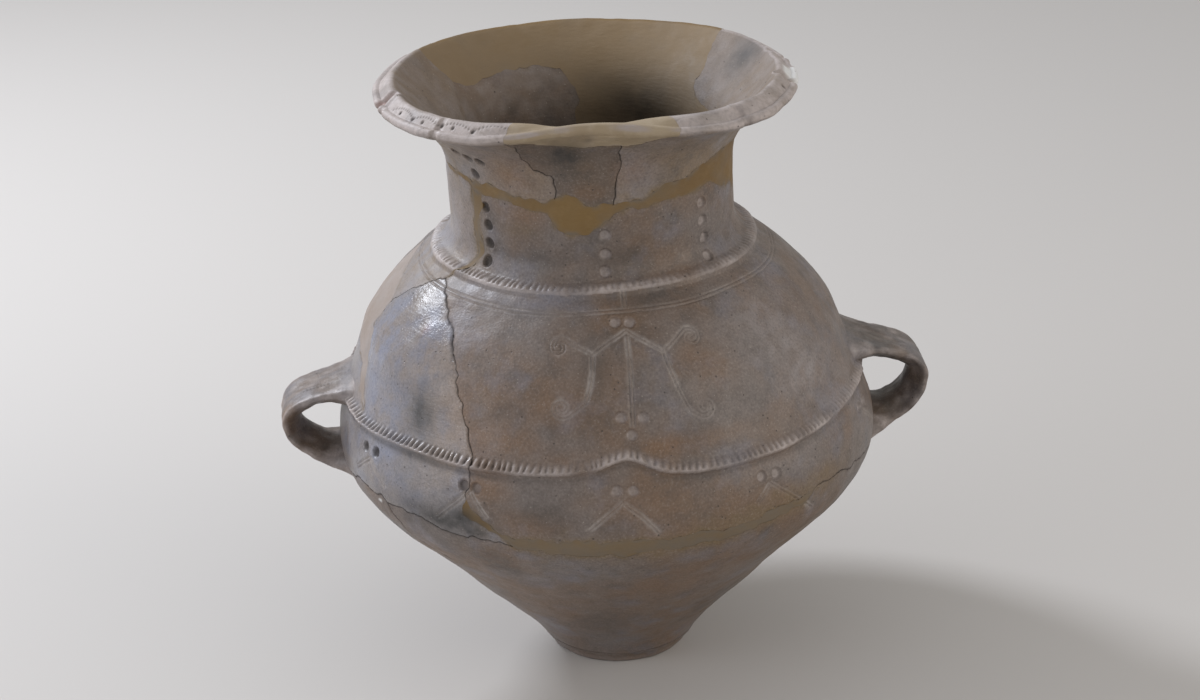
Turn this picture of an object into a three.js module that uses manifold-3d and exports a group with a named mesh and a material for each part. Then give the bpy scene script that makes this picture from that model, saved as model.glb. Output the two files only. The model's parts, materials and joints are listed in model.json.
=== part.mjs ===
// A hand-built burnished clay urn, put together again from sherds and plaster.
// Millimetres, +Z up. The origin is the middle of the foot's underside. The handles lie on the
// X axis and the front, with the spiral ornament, faces -Y.
import * as THREE from 'three';
import { mergeVertices } from 'three/addons/utils/BufferGeometryUtils.js';
import Module from 'manifold-3d';

const wasm = await Module();
wasm.setup();
const { Manifold, Mesh } = wasm;

// Outline of the vessel, from the foot upwards. A radius is to the outer face, and a rise is
// the height of one stretch above the stretch below it.
const footRadius = 53.5;
const footTopRadius = 60.8;
const footThickness = 12;
const footEdgeRound = 1.5;
const footSpreadRadius = 86;
const footSpreadRise = 31;
const coneTopRadius = 180;
const coneRise = 97;
const bellyRadius = 201.5;
const bellyRise = 47;
const shoulderRadius = 177;
const shoulderRise = 82;
const slopeTopRadius = 131;
const slopeRise = 53.5;
const neckRadius = 105;
const neckTurnRise = 29.5;
const neckStraightRise = 42;
const lipUndersideRadius = 152;
const flareRise = 51;

// Walls and joints.
const wallThickness = 9;
const lipThickness = 7.5;
const jointGap = 0.4;
const lutingGap = 0.3;
const leanPerHeight = -0.0256;

// Raised cordons. The belly cordon climbs to a small peak at the front.
const bellyCordonRise = 39;
const bellyCordonProud = 4;
const bellyCordonHalfWidth = 5.5;
const neckCordonDrop = 19;
const neckCordonProud = 2.6;
const neckCordonHalfWidth = 4;
const peakHeight = 13;
const peakHalfAngle = 7.5;
const peakAngle = 0.6;

// The lip is pressed in and up at the front, where it was restored.
const lipPressIn = 28;
const lipPressUp = 7.5;
const lipPressAngle = -2;
const lipPressSpread = 27;

// Strap handles. They were shaped by hand, so the two differ in height and reach.
const leftHandleReach = 43;
const leftHandleUpperHeight = 227;
const leftHandleMiddleHeight = 204;
const leftHandleLowerHeight = 169;
const rightHandleReach = 43.5;
const rightHandleUpperHeight = 236.5;
const rightHandleMiddleHeight = 212;
const rightHandleLowerHeight = 171;
const handleThickness = 9;
const handleRootThickness = 15;
const handleWidth = 44;
const handleRootWidth = 60;
const handleDish = 1.5;

// Fineness of the round surfaces.
const turnSegments = 48;
const curveSteps = 4;
const innerCurveSteps = 2;
const lipSteps = 4;
const handleSteps = 7;
const handleSectionPoints = 12;

// Heights worked out from the stretches.
const wallFootHeight = footThickness + lutingGap;
const footSpreadHeight = footThickness + footSpreadRise;
const coneTopHeight = footSpreadHeight + coneRise;
const bellyHeight = coneTopHeight + bellyRise;
const shoulderHeight = bellyHeight + shoulderRise;
const slopeTopHeight = shoulderHeight + slopeRise;
const neckFootHeight = slopeTopHeight + neckTurnRise;
const neckTopHeight = neckFootHeight + neckStraightRise;
const lipUndersideHeight = neckTopHeight + flareRise;
const rimTopHeight = lipUndersideHeight + lipThickness;
const bellyCordonHeight = bellyHeight + bellyCordonRise;
const neckCordonHeight = neckFootHeight - neckCordonDrop;

const wholeTurn = 360;
const degrees = THREE.MathUtils.degToRad;

// The outer face in section: x is the radius and y the height. Each curve leaves in the
// direction in which the one below it arrives.
function outerCurves() {
  const coneDirection = new THREE.Vector2(coneTopRadius - footSpreadRadius, coneRise).normalize();
  const spreadPull = footSpreadRise * 0.9;
  const bellyPull = bellyRise * 0.5;
  const shoulderDirection = new THREE.Vector2(-0.32, 0.95);
  const slopeDirection = new THREE.Vector2(slopeTopRadius - shoulderRadius, slopeRise * 0.72).normalize();
  const path = new THREE.Path();
  path.moveTo(footTopRadius, wallFootHeight);
  path.quadraticCurveTo(
    footSpreadRadius - coneDirection.x * spreadPull, footSpreadHeight - coneDirection.y * spreadPull,
    footSpreadRadius, footSpreadHeight);
  path.lineTo(coneTopRadius, coneTopHeight);
  path.bezierCurveTo(
    coneTopRadius + coneDirection.x * bellyPull, coneTopHeight + coneDirection.y * bellyPull,
    bellyRadius, bellyHeight - bellyPull * 0.8,
    bellyRadius, bellyHeight);
  path.bezierCurveTo(
    bellyRadius, bellyHeight + shoulderRise * 0.22,
    shoulderRadius - shoulderDirection.x * shoulderRise * 0.42,
    shoulderHeight - shoulderDirection.y * shoulderRise * 0.42,
    shoulderRadius, shoulderHeight);
  path.bezierCurveTo(
    shoulderRadius + shoulderDirection.x * slopeRise * 0.26,
    shoulderHeight + shoulderDirection.y * slopeRise * 0.26,
    slopeTopRadius - slopeDirection.x * slopeRise * 0.52,
    slopeTopHeight - slopeDirection.y * slopeRise * 0.52,
    slopeTopRadius, slopeTopHeight);
  path.bezierCurveTo(
    slopeTopRadius + slopeDirection.x * neckTurnRise * 0.62,
    slopeTopHeight + slopeDirection.y * neckTurnRise * 0.62,
    neckRadius, neckFootHeight - neckTurnRise * 0.48,
    neckRadius, neckFootHeight);
  path.lineTo(neckRadius, neckTopHeight);
  path.bezierCurveTo(
    neckRadius, neckTopHeight + flareRise * 0.44,
    neckRadius + (lipUndersideRadius - neckRadius) * 0.34, neckTopHeight + flareRise * 0.82,
    lipUndersideRadius, lipUndersideHeight);
  return path.curves;
}

const curves = outerCurves();
const flareCurve = curves[curves.length - 1];

function sampleOuter(steps) {
  const points = [curves[0].getPoint(0)];
  for (const curve of curves) {
    const count = curve.isLineCurve ? 1 : steps;
    points.push(...curve.getPoints(count).slice(1));
  }
  return points;
}

function thicknessAt(curve, t) {
  return curve === flareCurve ? THREE.MathUtils.lerp(wallThickness, lipThickness, t) : wallThickness;
}

function inwardPoint(curve, t, depth) {
  const point = curve.getPoint(t);
  const tangent = curve.getTangent(t);
  return new THREE.Vector2(point.x - tangent.y * depth, point.y + tangent.x * depth);
}

function sampleInner() {
  const points = [];
  for (const curve of curves) {
    const roundSteps = curve === flareCurve ? curveSteps : innerCurveSteps;
    const count = curve.isLineCurve ? 1 : roundSteps;
    for (let step = 1; step <= count; step += 1) {
      const t = step / count;
      points.push(inwardPoint(curve, t, thicknessAt(curve, t)));
    }
  }
  return points;
}

const outerOutline = sampleOuter(curveSteps);

// The outer radius at a height, and how much height one millimetre along the outline gains.
function outlineAt(height) {
  let index = 1;
  while (index < outerOutline.length - 1 && outerOutline[index].y < height) {
    index += 1;
  }
  const low = outerOutline[index - 1];
  const high = outerOutline[index];
  const share = THREE.MathUtils.clamp((height - low.y) / (high.y - low.y), 0, 1);
  const climb = (high.y - low.y) / low.distanceTo(high);
  return { radius: THREE.MathUtils.lerp(low.x, high.x, share), climb };
}

// A closed mesh as a solid for joining and cutting.
function toSolid(geometry) {
  const bare = geometry.clone();
  bare.deleteAttribute('normal');
  bare.deleteAttribute('uv');
  const merged = mergeVertices(bare, 1e-4);
  const index = merged.getIndex().array;
  const triangles = [];
  for (let i = 0; i < index.length; i += 3) {
    const [a, b, c] = [index[i], index[i + 1], index[i + 2]];
    if (a !== b && b !== c && c !== a) {
      triangles.push(a, b, c);
    }
  }
  return new Manifold(new Mesh({
    numProp: 3,
    vertProperties: new Float32Array(merged.getAttribute('position').array),
    triVerts: new Uint32Array(triangles),
  }));
}

function toGeometry(solid) {
  const mesh = solid.getMesh();
  const geometry = new THREE.BufferGeometry();
  geometry.setAttribute('position', new THREE.BufferAttribute(new Float32Array(mesh.vertProperties), 3));
  geometry.setIndex(new THREE.BufferAttribute(new Uint32Array(mesh.triVerts), 1));
  return geometry;
}

// A section turned about the vertical axis. Angle 0 is the front and 90 the right-hand side.
function turned(points) {
  const geometry = new THREE.LatheGeometry(points, turnSegments);
  geometry.rotateX(Math.PI / 2);
  return toSolid(geometry);
}

function atAngle(angle, radius, height) {
  return new THREE.Vector3(radius * Math.sin(degrees(angle)), -radius * Math.cos(degrees(angle)), height);
}

// A tube of like sections, each a ring of points that runs clockwise seen along the tube. The
// two halves of a ring are split along matching diagonals, so that a thin tube stays even.
function loft(sections, closed) {
  const ring = sections[0].length;
  const positions = sections.flat().flatMap((point) => point.toArray());
  const triangles = [];
  const spans = closed ? sections.length : sections.length - 1;
  for (let i = 0; i < spans; i += 1) {
    const here = i * ring;
    const next = ((i + 1) % sections.length) * ring;
    for (let j = 0; j < ring; j += 1) {
      const k = (j + 1) % ring;
      if (j < ring / 2) {
        triangles.push(here + j, here + k, next + k);
        triangles.push(here + j, next + k, next + j);
      } else {
        triangles.push(here + j, here + k, next + j);
        triangles.push(here + k, next + k, next + j);
      }
    }
  }
  if (!closed) {
    const last = (sections.length - 1) * ring;
    for (let j = 1; j < ring - 1; j += 1) {
      triangles.push(0, j + 1, j);
      triangles.push(last, last + j, last + j + 1);
    }
  }
  const geometry = new THREE.BufferGeometry();
  geometry.setAttribute('position', new THREE.Float32BufferAttribute(positions, 3));
  geometry.setIndex(triangles);
  return toSolid(geometry);
}

// The wall from above the foot disc to the lip, with a rounded lip edge.
function vesselWall() {
  const lipEnd = flareCurve.getPoint(1);
  const lipInner = inwardPoint(flareCurve, 1, lipThickness);
  const lipMiddle = lipEnd.clone().add(lipInner).multiplyScalar(0.5);
  const lipArc = [];
  for (let step = 1; step < lipSteps; step += 1) {
    const spoke = lipEnd.clone().sub(lipMiddle);
    lipArc.push(spoke.rotateAround(new THREE.Vector2(), Math.PI * step / lipSteps).add(lipMiddle));
  }
  const inner = sampleInner().reverse();
  const footSlope = curves[0].getTangent(0);
  const innerFootRadius = footTopRadius - wallThickness / footSlope.y;
  const section = [
    new THREE.Vector2(innerFootRadius, wallFootHeight),
    ...outerOutline,
    ...lipArc,
    ...inner,
    new THREE.Vector2(innerFootRadius, wallFootHeight),
  ];
  return turned(section);
}

// The base disc that the wall was raised on.
function foot() {
  return turned([
    new THREE.Vector2(0, 0),
    new THREE.Vector2(footRadius - footEdgeRound, 0),
    new THREE.Vector2(footRadius, footEdgeRound),
    new THREE.Vector2(THREE.MathUtils.lerp(footRadius, footTopRadius, 0.55), footThickness / 2),
    new THREE.Vector2(footTopRadius, footThickness),
    new THREE.Vector2(0, footThickness),
  ]);
}

// How far round the vessel two angles lie from each other, the short way.
function angleApart(angle, other) {
  const shifted = THREE.MathUtils.euclideanModulo(angle - other + wholeTurn / 2, wholeTurn);
  return Math.abs(shifted - wholeTurn / 2);
}

function awayFromPeak(angle) {
  return angleApart(angle, peakAngle);
}

// The belly cordon's middle height: level, with one small peak at the front.
function bellyCordonMiddle(angle) {
  return bellyCordonHeight + peakHeight * Math.max(0, 1 - awayFromPeak(angle) / peakHalfAngle);
}

function neckCordonMiddle() {
  return neckCordonHeight;
}

// The angles at which a cordon has a section: even ones, and the peak's foot, top and foot.
function cordonAngles() {
  const angles = [];
  for (let i = 0; i < turnSegments; i += 1) {
    const angle = wholeTurn * i / turnSegments;
    if (awayFromPeak(angle) > peakHalfAngle) {
      angles.push(angle);
    }
  }
  for (const share of [-1, -0.5, 0, 0.5, 1]) {
    angles.push(THREE.MathUtils.euclideanModulo(peakAngle + share * peakHalfAngle, wholeTurn));
  }
  return angles.sort((a, b) => a - b);
}

// A clay strip laid round the wall.
function cordon(middleAt, proud, halfWidth) {
  const sections = [];
  for (const angle of cordonAngles()) {
    const middle = middleAt(angle);
    const faceAt = (offset, lift) => atAngle(angle, outlineAt(middle + offset).radius + lift, middle + offset);
    sections.push([
      faceAt(0, -wallThickness / 2),
      faceAt(halfWidth, -wallThickness / 4),
      faceAt(halfWidth * 0.35, proud),
      faceAt(-halfWidth * 0.35, proud),
      faceAt(-halfWidth, -wallThickness / 4),
    ]);
  }
  return loft(sections, true);
}

// Break lines are drawn on the outer face as points of an angle and a level. Level 0 is the
// foot, 1 the belly cordon, 2 the neck cordon, 3 the top of the straight neck and 4 the rim.
const levelHeights = [0, bellyCordonHeight, neckCordonHeight, neckTopHeight, rimTopHeight];

function heightAtLevel(level) {
  const below = THREE.MathUtils.clamp(Math.floor(level), 0, levelHeights.length - 2);
  const share = level - below;
  return levelHeights[below] + share * (levelHeights[below + 1] - levelHeights[below]);
}

const pastRim = 4.2;
const angleStep = 20;
const levelStep = 0.5;
const reachInside = 26;
const reachOutside = 16;

// Points of a break line close enough together to follow the round wall.
function denseLine(line) {
  const dense = [line[0]];
  for (let i = 1; i < line.length; i += 1) {
    const [fromAngle, fromLevel] = line[i - 1];
    const [toAngle, toLevel] = line[i];
    const turns = Math.abs(toAngle - fromAngle) / angleStep;
    const climbs = Math.abs(toLevel - fromLevel) / levelStep;
    const count = Math.max(1, Math.ceil(Math.max(turns, climbs)));
    for (let step = 1; step <= count; step += 1) {
      const share = step / count;
      dense.push([
        THREE.MathUtils.lerp(fromAngle, toAngle, share),
        THREE.MathUtils.lerp(fromLevel, toLevel, share),
      ]);
    }
  }
  return dense;
}

// The thin space of a break: a ribbon through the wall along its line, one gap wide. Each end
// runs one gap past its point, so that it meets the line that it ends on.
function breakSpace(line) {
  const spots = denseLine(line).map(([angle, level]) => {
    const height = heightAtLevel(level);
    return { angle, height, ...outlineAt(height) };
  });
  const sections = spots.map((spot, i) => {
    const before = spots[Math.max(0, i - 1)];
    const after = spots[Math.min(spots.length - 1, i + 1)];
    const run = new THREE.Vector2(
      degrees(after.angle - before.angle) * spot.radius,
      (after.height - before.height) / spot.climb).normalize();
    const past = i === 0 ? -jointGap : (i === spots.length - 1 ? jointGap : 0);
    const corner = (side, reach) => {
      const around = run.x * past - run.y * side * jointGap / 2;
      const along = run.y * past + run.x * side * jointGap / 2;
      const angle = spot.angle + THREE.MathUtils.radToDeg(around / spot.radius);
      return atAngle(angle, spot.radius + reach, spot.height + along * spot.climb);
    };
    return [
      corner(1, -reachInside),
      corner(1, reachOutside),
      corner(-1, reachOutside),
      corner(-1, -reachInside),
    ];
  });
  return loft(sections, false);
}

// Places where three breaks meet.
const crackFork = [-63.2, 1.95];
const fillCorner = [-80.5, 1.68];
const fillRearCorner = [-106, 1.9];
const fillLowCorner = [-104, 1.37];
const beltLeft = [-102, 0.743];
const beltRight = [44, 0.819];
const beltWedge = [-24.5, 0.759];
const wedgeTip = [-34, 0.894];
const bandTip = [-86, 3.1];
const bandRearTop = [80, 3.33];
const bandRearFoot = [80, 2.62];
const lipLeft = [-27.5, 3.86];
const lipCrack = [7.8, 3.715];
const lipRight = [23, 3.87];
const rearNeckFoot = [180, 2.21];
const rearNeckRight = [103, 2.46];
const rearNeckLeft = [-109, 2.11];
const rearNeckTop = [-124.5, 3.68];
const rearNeckSide = [-113, 3.03];
const beltRearRight = [118, 0.783];
const beltRear = [182, 0.779];

const samePlaceOnNextTurn = ([angle, level]) => [angle + wholeTurn, level];

const breakLines = [
  // The seam round the belly, from the left handle to the wedge of plaster.
  [beltLeft, [-90, 0.73], [-80, 0.743], [-69.8, 0.792], [-62.9, 0.782], [-58.7, 0.8], [-57.3, 0.78],
    [-52.2, 0.791], [-44.8, 0.781], [-41.1, 0.762], [-33, 0.761], beltWedge],
  // The plaster wedge and band: its upper edge and its lower edge.
  [wedgeTip, [-30.6, 0.844], [-26.5, 0.796], [-14, 0.788], [-4, 0.792], [8, 0.783], [21, 0.788],
    [31, 0.801], beltRight],
  [beltRight, [40, 0.783], [31, 0.765], [21, 0.752], [8, 0.743], [-4, 0.743], [-14, 0.735], beltWedge],
  [beltWedge, [-28.6, 0.801], [-33, 0.83], [-34.8, 0.845], wedgeTip],
  // The seam goes on round the right and the back.
  [beltRight, [52, 0.81], [60, 0.796], [75, 0.761], [90, 0.73], [104, 0.743], beltRearRight,
    [150, 0.77], beltRear, [215, 0.77], [240, 0.779], samePlaceOnNextTurn(beltLeft)],
  // A fissure that runs down from the seam and ends in the lower body.
  [[-57.3, 0.78], [-53.2, 0.692], [-49, 0.628], [-46, 0.575]],
  // The long crack down the left of the front, and its branch.
  [crackFork, [-59.5, 1.892], [-53.2, 1.815], [-47.8, 1.726], [-44.4, 1.646], [-40.6, 1.522],
    [-38.7, 1.41], [-36.6, 1.264], [-34.4, 1.161], [-33.3, 1.079], [-34, 0.965], wedgeTip],
  [crackFork, [-68.4, 1.887], [-74.7, 1.816], fillCorner],
  // The plaster above and beside the left handle.
  [fillRearCorner, [-88.1, 1.788], fillCorner],
  [fillCorner, [-82.2, 1.537], [-79.6, 1.494], [-77.4, 1.344], [-74.4, 1.164], [-71, 1.037],
    [-77, 1.112], [-80, 1.26], [-88, 1.31], fillLowCorner],
  [fillLowCorner, [-112, 1.598], fillRearCorner],
  // The break at the left rear, from the seam up to the lip.
  [beltLeft, [-103, 0.885], [-106, 1.131], fillLowCorner],
  [fillRearCorner, rearNeckLeft, [-112, 2.607], rearNeckSide, [-118.5, 3.38], [-121, 3.53],
    rearNeckTop, [-122, 3.82], [-123, pastRim]],
  // The plaster band round the neck: its upper edge, lower edge and cast ends.
  [bandTip, [-82, 3.121], [-66, 3.129], [-53, 3.121], [-38, 3.069], [-28, 3.017], [-22, 3.034],
    [-14, 3.103], [-10, 3.086], [-4, 2.984], [1, 3], [5.6, 2.992], [11, 2.984], [18, 3.017],
    [24, 3.086], [31, 3.138], [41, 3.207], [51, 3.293], [61, 3.345], bandRearTop],
  [bandRearFoot, [71, 2.754], [61, 2.82], [54, 2.918], [49, 2.951], [41, 2.934], [31, 2.934],
    [21, 2.918], [11, 2.885], [4, 2.836], [-1, 2.738], [-6, 2.623], [-12, 2.615], [-17, 2.705],
    [-20, 2.869], [-28, 2.91], [-38, 2.951], [-53, 2.984], [-66, 3.06], [-82, 3.08], bandTip],
  [bandRearTop, bandRearFoot],
  [bandTip, rearNeckSide],
  // The upright strip of plaster in the neck.
  [[-58, 3.013], [-58.1, 2.651], [-57.8, 2.403], [-56.7, 2.226], [-58.7, 2.077], crackFork],
  [[-51.4, 2.98], [-54, 2.685], [-54.4, 2.431], [-53.5, 2.228], [-55.8, 2.087], crackFork],
  // Two cracks that part the sherds of the upper neck, and the plaster in the lip.
  [[-18, 3.068], [-17.9, 3.297], [-21.2, 3.387], [-24.4, 3.417], [-27.2, 3.552], lipLeft],
  [[5.6, 2.992], [6.7, 3.171], [7.6, 3.345], [8.7, 3.495], lipCrack],
  [[-27, pastRim], lipLeft],
  [lipLeft, [-21, 3.81], [-12.9, 3.728], lipCrack, [13.5, 3.751], lipRight],
  [lipRight, [26, pastRim]],
  // The plaster of the rear lip and rear neck, and the sherd set in it.
  [bandRearTop, [95, 3.293], [108, 3.21], [117.2, 3.31], [123.9, 3.414], [127, 3.524],
    [125.8, 3.688], [127, 3.862], [130, pastRim]],
  [bandRearFoot, rearNeckRight, [130, 2.311], [160, 2.246], rearNeckFoot, [210, 2.148], [235, 2.115],
    samePlaceOnNextTurn(rearNeckLeft)],
  [rearNeckFoot, [182, 2.9], [179.8, 3.19], [182.4, 3.41], [187.4, 3.56], [199, 3.61],
    [211.4, 3.62], [227, 3.58], samePlaceOnNextTurn(rearNeckTop)],
  // The joints between the sherds of the rear belly.
  [rearNeckRight, [104, 1.972], [110, 1.692], [116, 1.318], [112, 0.973], beltRearRight],
  [rearNeckFoot, [178, 1.692], [184, 1.318], [176, 0.951], beltRear],
];

// Each piece by one place inside it, with its colour, roughness and kind.
const clay = 0.62;
const plaster = 0.9;
const wallPieces = [
  { name: 'lower_body', at: [0, 0.4], colour: 0x776d64, roughness: clay },
  { name: 'seam_fill_front', at: [0, 0.765], colour: 0x85703f, roughness: plaster },
  { name: 'belly_sherd_front', at: [10, 1.3], colour: 0x7d736b, roughness: clay },
  { name: 'belly_sherd_left', at: [-60, 1.3], colour: 0x84838a, roughness: clay },
  { name: 'belly_sherd_rear_left', at: [220, 1.3], colour: 0x7a7068, roughness: clay },
  { name: 'belly_sherd_rear_right', at: [150, 1.3], colour: 0x776c62, roughness: clay },
  { name: 'shoulder_sherd_left', at: [-85, 2.2], colour: 0x8a8786, roughness: clay },
  { name: 'shoulder_fill_left', at: [-95, 1.6], colour: 0x8b7a58, roughness: plaster },
  { name: 'neck_strip_fill', at: [-56, 2.55], colour: 0x8a7148, roughness: plaster },
  { name: 'neck_band_fill', at: [-8, 2.85], colour: 0x85682f, roughness: plaster },
  { name: 'neck_sherd_rear', at: [210, 2.8], colour: 0x7b746c, roughness: clay },
  { name: 'rear_fill', at: [150, 3.2], colour: 0x7d6a45, roughness: plaster },
  { name: 'rim_sherd_left', at: [-70, 3.5], colour: 0x8f8580, roughness: clay },
  { name: 'rim_sherd_front', at: [-8, 3.4], colour: 0x6f655d, roughness: clay },
  { name: 'rim_sherd_right', at: [60, 3.6], colour: 0x857a72, roughness: clay },
  { name: 'lip_fill_front', at: [0, 3.86], colour: 0xa8977a, roughness: plaster },
];

// A small solid in the middle of the wall, which lies in one piece only.
function marker([angle, level]) {
  const height = heightAtLevel(level);
  const { radius, climb } = outlineAt(height);
  const middle = radius - wallThickness / 2 / climb;
  const geometry = new THREE.OctahedronGeometry(0.5);
  geometry.translate(...atAngle(angle, middle, height).toArray());
  return toSolid(geometry);
}

// A strap loop, wide and thick at its roots, with its edges turned up a little.
function handle(side, { loopReach, upper, middle, lower }) {
  const reach = bellyRadius + loopReach - handleThickness / 2;
  const bury = wallThickness * 0.7;
  const upperRoot = outlineAt(upper).radius - bury;
  const lowerRoot = outlineAt(lower).radius - bury;
  const path = new THREE.Path();
  path.moveTo(upperRoot, upper);
  path.bezierCurveTo(
    upperRoot + loopReach * 0.6, upper - (upper - middle) * 0.06,
    reach, middle + (upper - middle) * 0.68,
    reach, middle);
  path.bezierCurveTo(
    reach, middle - (middle - lower) * 0.5,
    reach - loopReach * 0.46, lower + (middle - lower) * 0.14,
    lowerRoot, lower);
  const [upperHalf, lowerHalf] = path.curves;
  const sections = [];
  const stations = handleSteps * 2;
  for (let i = 0; i <= stations; i += 1) {
    const half = i <= handleSteps ? upperHalf : lowerHalf;
    const t = i <= handleSteps ? i / handleSteps : (i - handleSteps) / handleSteps;
    const centre = half.getPoint(t);
    const tangent = half.getTangent(t);
    const outward = new THREE.Vector2(-tangent.y, tangent.x);
    const spread = Math.abs(2 * i / stations - 1) ** 2.5;
    const halfWidth = THREE.MathUtils.lerp(handleWidth, handleRootWidth, spread) / 2;
    const halfDepth = THREE.MathUtils.lerp(handleThickness, handleRootThickness, spread) / 2;
    const section = [];
    for (let j = 0; j < handleSectionPoints; j += 1) {
      const turn = 2 * Math.PI * j / handleSectionPoints;
      const across = Math.sign(Math.cos(turn)) * Math.abs(Math.cos(turn)) ** 0.6;
      const deep = Math.sign(Math.sin(turn)) * Math.abs(Math.sin(turn)) ** 0.6;
      const lift = deep * halfDepth + handleDish * (across ** 2 - 0.5);
      const radius = centre.x + outward.x * lift;
      const height = centre.y + outward.y * lift;
      const point = atAngle(side, radius, height);
      const sideways = atAngle(side + 90, across * halfWidth, 0);
      section.push(point.add(sideways));
    }
    sections.push(section);
  }
  return loft(sections, false);
}

// The space that the handles keep clear of: the vessel and its belly cordon, with a gap.
function handleSeat() {
  const grown = outerOutline.map((point) => new THREE.Vector2(point.x + lutingGap, point.y));
  const last = grown[grown.length - 1];
  const body = turned([new THREE.Vector2(0, grown[0].y), ...grown, new THREE.Vector2(0, last.y)]);
  const strip = cordon(bellyCordonMiddle, bellyCordonProud + lutingGap, bellyCordonHalfWidth + lutingGap);
  return body.add(strip);
}

// How much of the press at the front of the lip reaches an angle: all at its middle, none at
// the back.
function pressShare(angle) {
  return Math.exp(-((angleApart(angle, lipPressAngle) / lipPressSpread) ** 2));
}

// Moves the upper neck and the lip from the even round shape to the pressed one.
function pressLip(geometry) {
  const position = geometry.getAttribute('position');
  const point = new THREE.Vector3();
  for (let i = 0; i < position.count; i += 1) {
    point.fromBufferAttribute(position, i);
    if (point.z > neckTopHeight) {
      const radius = Math.hypot(point.x, point.y);
      const share = pressShare(THREE.MathUtils.radToDeg(Math.atan2(point.x, -point.y)));
      const flare = (outlineAt(point.z).radius - neckRadius) / (lipUndersideRadius - neckRadius);
      const climb = (point.z - neckTopHeight) / (rimTopHeight - neckTopHeight);
      const narrowed = 1 - lipPressIn * share * flare / radius;
      position.setXYZ(i, point.x * narrowed, point.y * narrowed, point.z + lipPressUp * share * climb ** 2);
    }
  }
}

const lean = new THREE.Matrix4().makeShear(0, 0, 0, 0, leanPerHeight, 0);

function namedMesh(name, solid, colour, roughness) {
  const material = new THREE.MeshStandardMaterial({ color: colour, roughness, metalness: 0 });
  const geometry = toGeometry(solid);
  pressLip(geometry);
  geometry.applyMatrix4(lean);
  const mesh = new THREE.Mesh(geometry, material);
  mesh.name = name;
  return mesh;
}

const urn = new THREE.Group();
urn.add(namedMesh('foot', foot(), 0x6f655d, clay));

const bellyCordon = cordon(bellyCordonMiddle, bellyCordonProud, bellyCordonHalfWidth);
const neckCordon = cordon(neckCordonMiddle, neckCordonProud, neckCordonHalfWidth);
const wholeWall = vesselWall().add(bellyCordon).add(neckCordon);
const brokenWall = wholeWall.subtract(Manifold.union(breakLines.map(breakSpace)));
const sherds = brokenWall.decompose();

const restoredWall = new THREE.Group();
for (const piece of wallPieces) {
  const mark = marker(piece.at);
  const sherd = sherds.find((candidate) => !candidate.intersect(mark).isEmpty());
  restoredWall.add(namedMesh(piece.name, sherd, piece.colour, piece.roughness));
}
urn.add(restoredWall);

const leftLoop = handle(-90, {
  loopReach: leftHandleReach,
  upper: leftHandleUpperHeight,
  middle: leftHandleMiddleHeight,
  lower: leftHandleLowerHeight,
});
const rightLoop = handle(90, {
  loopReach: rightHandleReach,
  upper: rightHandleUpperHeight,
  middle: rightHandleMiddleHeight,
  lower: rightHandleLowerHeight,
});
const seat = handleSeat();
urn.add(namedMesh('left_handle', leftLoop.subtract(seat), 0x857a70, clay));
urn.add(namedMesh('right_handle', rightLoop.subtract(seat), 0x7a6c60, clay));

export default urn;
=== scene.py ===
# %% [markdown]
# # A restored prehistoric urn
# The pot was built up by hand from rings of clay, smoothed, rubbed with a pebble until it shone a
# little, and fired in an open fire. It broke, and it was put together again from sherds, with
# tinted plaster where clay is lost. This lesson builds the same story in the same order: one whole
# wall, the breaks through it, and then the surface of each sherd.

# %% The frame that every piece is placed in
import json
import math
from types import SimpleNamespace

import bmesh
import bpy
import numpy as np
from mathutils import Matrix, Vector
from mathutils.kdtree import KDTree

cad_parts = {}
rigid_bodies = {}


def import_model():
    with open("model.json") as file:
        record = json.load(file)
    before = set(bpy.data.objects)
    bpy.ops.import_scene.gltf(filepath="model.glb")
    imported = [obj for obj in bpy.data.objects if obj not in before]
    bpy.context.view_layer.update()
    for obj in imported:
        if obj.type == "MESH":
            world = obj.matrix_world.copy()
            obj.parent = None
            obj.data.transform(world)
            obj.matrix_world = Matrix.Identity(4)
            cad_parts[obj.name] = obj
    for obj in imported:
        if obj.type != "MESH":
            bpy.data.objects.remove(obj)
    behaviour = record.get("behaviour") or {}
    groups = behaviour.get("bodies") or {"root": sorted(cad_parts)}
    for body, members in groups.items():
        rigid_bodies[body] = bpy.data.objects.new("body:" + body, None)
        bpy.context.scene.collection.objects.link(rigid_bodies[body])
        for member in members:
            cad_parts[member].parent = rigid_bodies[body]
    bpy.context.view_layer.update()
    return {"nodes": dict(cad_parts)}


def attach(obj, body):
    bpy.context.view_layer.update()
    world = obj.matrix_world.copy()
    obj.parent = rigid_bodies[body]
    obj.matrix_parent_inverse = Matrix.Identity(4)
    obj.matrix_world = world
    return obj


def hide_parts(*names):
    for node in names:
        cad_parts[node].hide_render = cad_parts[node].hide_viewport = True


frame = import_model()
metres = 0.001
print("nodes in the frame:", len(frame["nodes"]))

# %% [markdown]
# ## The outline
# A pot that is turned by hand on a mat is nearly round, so one outline from foot to lip gives its
# shape. Smooth curves join a few radii and heights, each leaving in the direction in which the one
# below it arrives. All work is in millimetres until the last step.

# %% The outline of the outer face
foot_top = (60.8, 12.0)
foot_spread = (86.0, 43.0)
cone_top = (180.0, 140.0)
belly = (201.5, 187.0)
shoulder = (177.0, 269.0)
slope_top = (131.0, 322.5)
neck_foot = (105.0, 352.0)
neck_top = (105.0, 394.0)
lip_underside = (152.0, 445.0)
wall_thickness = 9.0
lip_thickness = 7.5
lean_per_height = -0.0256


def bezier(*points, steps=60):
    """A smooth curve from the first point to the last, pulled towards those between."""
    share = np.linspace(0.0, 1.0, steps + 1)[:, None]
    layers = [np.asarray(point, float) + 0.0 * share for point in points]
    while len(layers) > 1:
        layers = [low * (1 - share) + high * share for low, high in zip(layers, layers[1:])]
    return layers[0]


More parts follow.
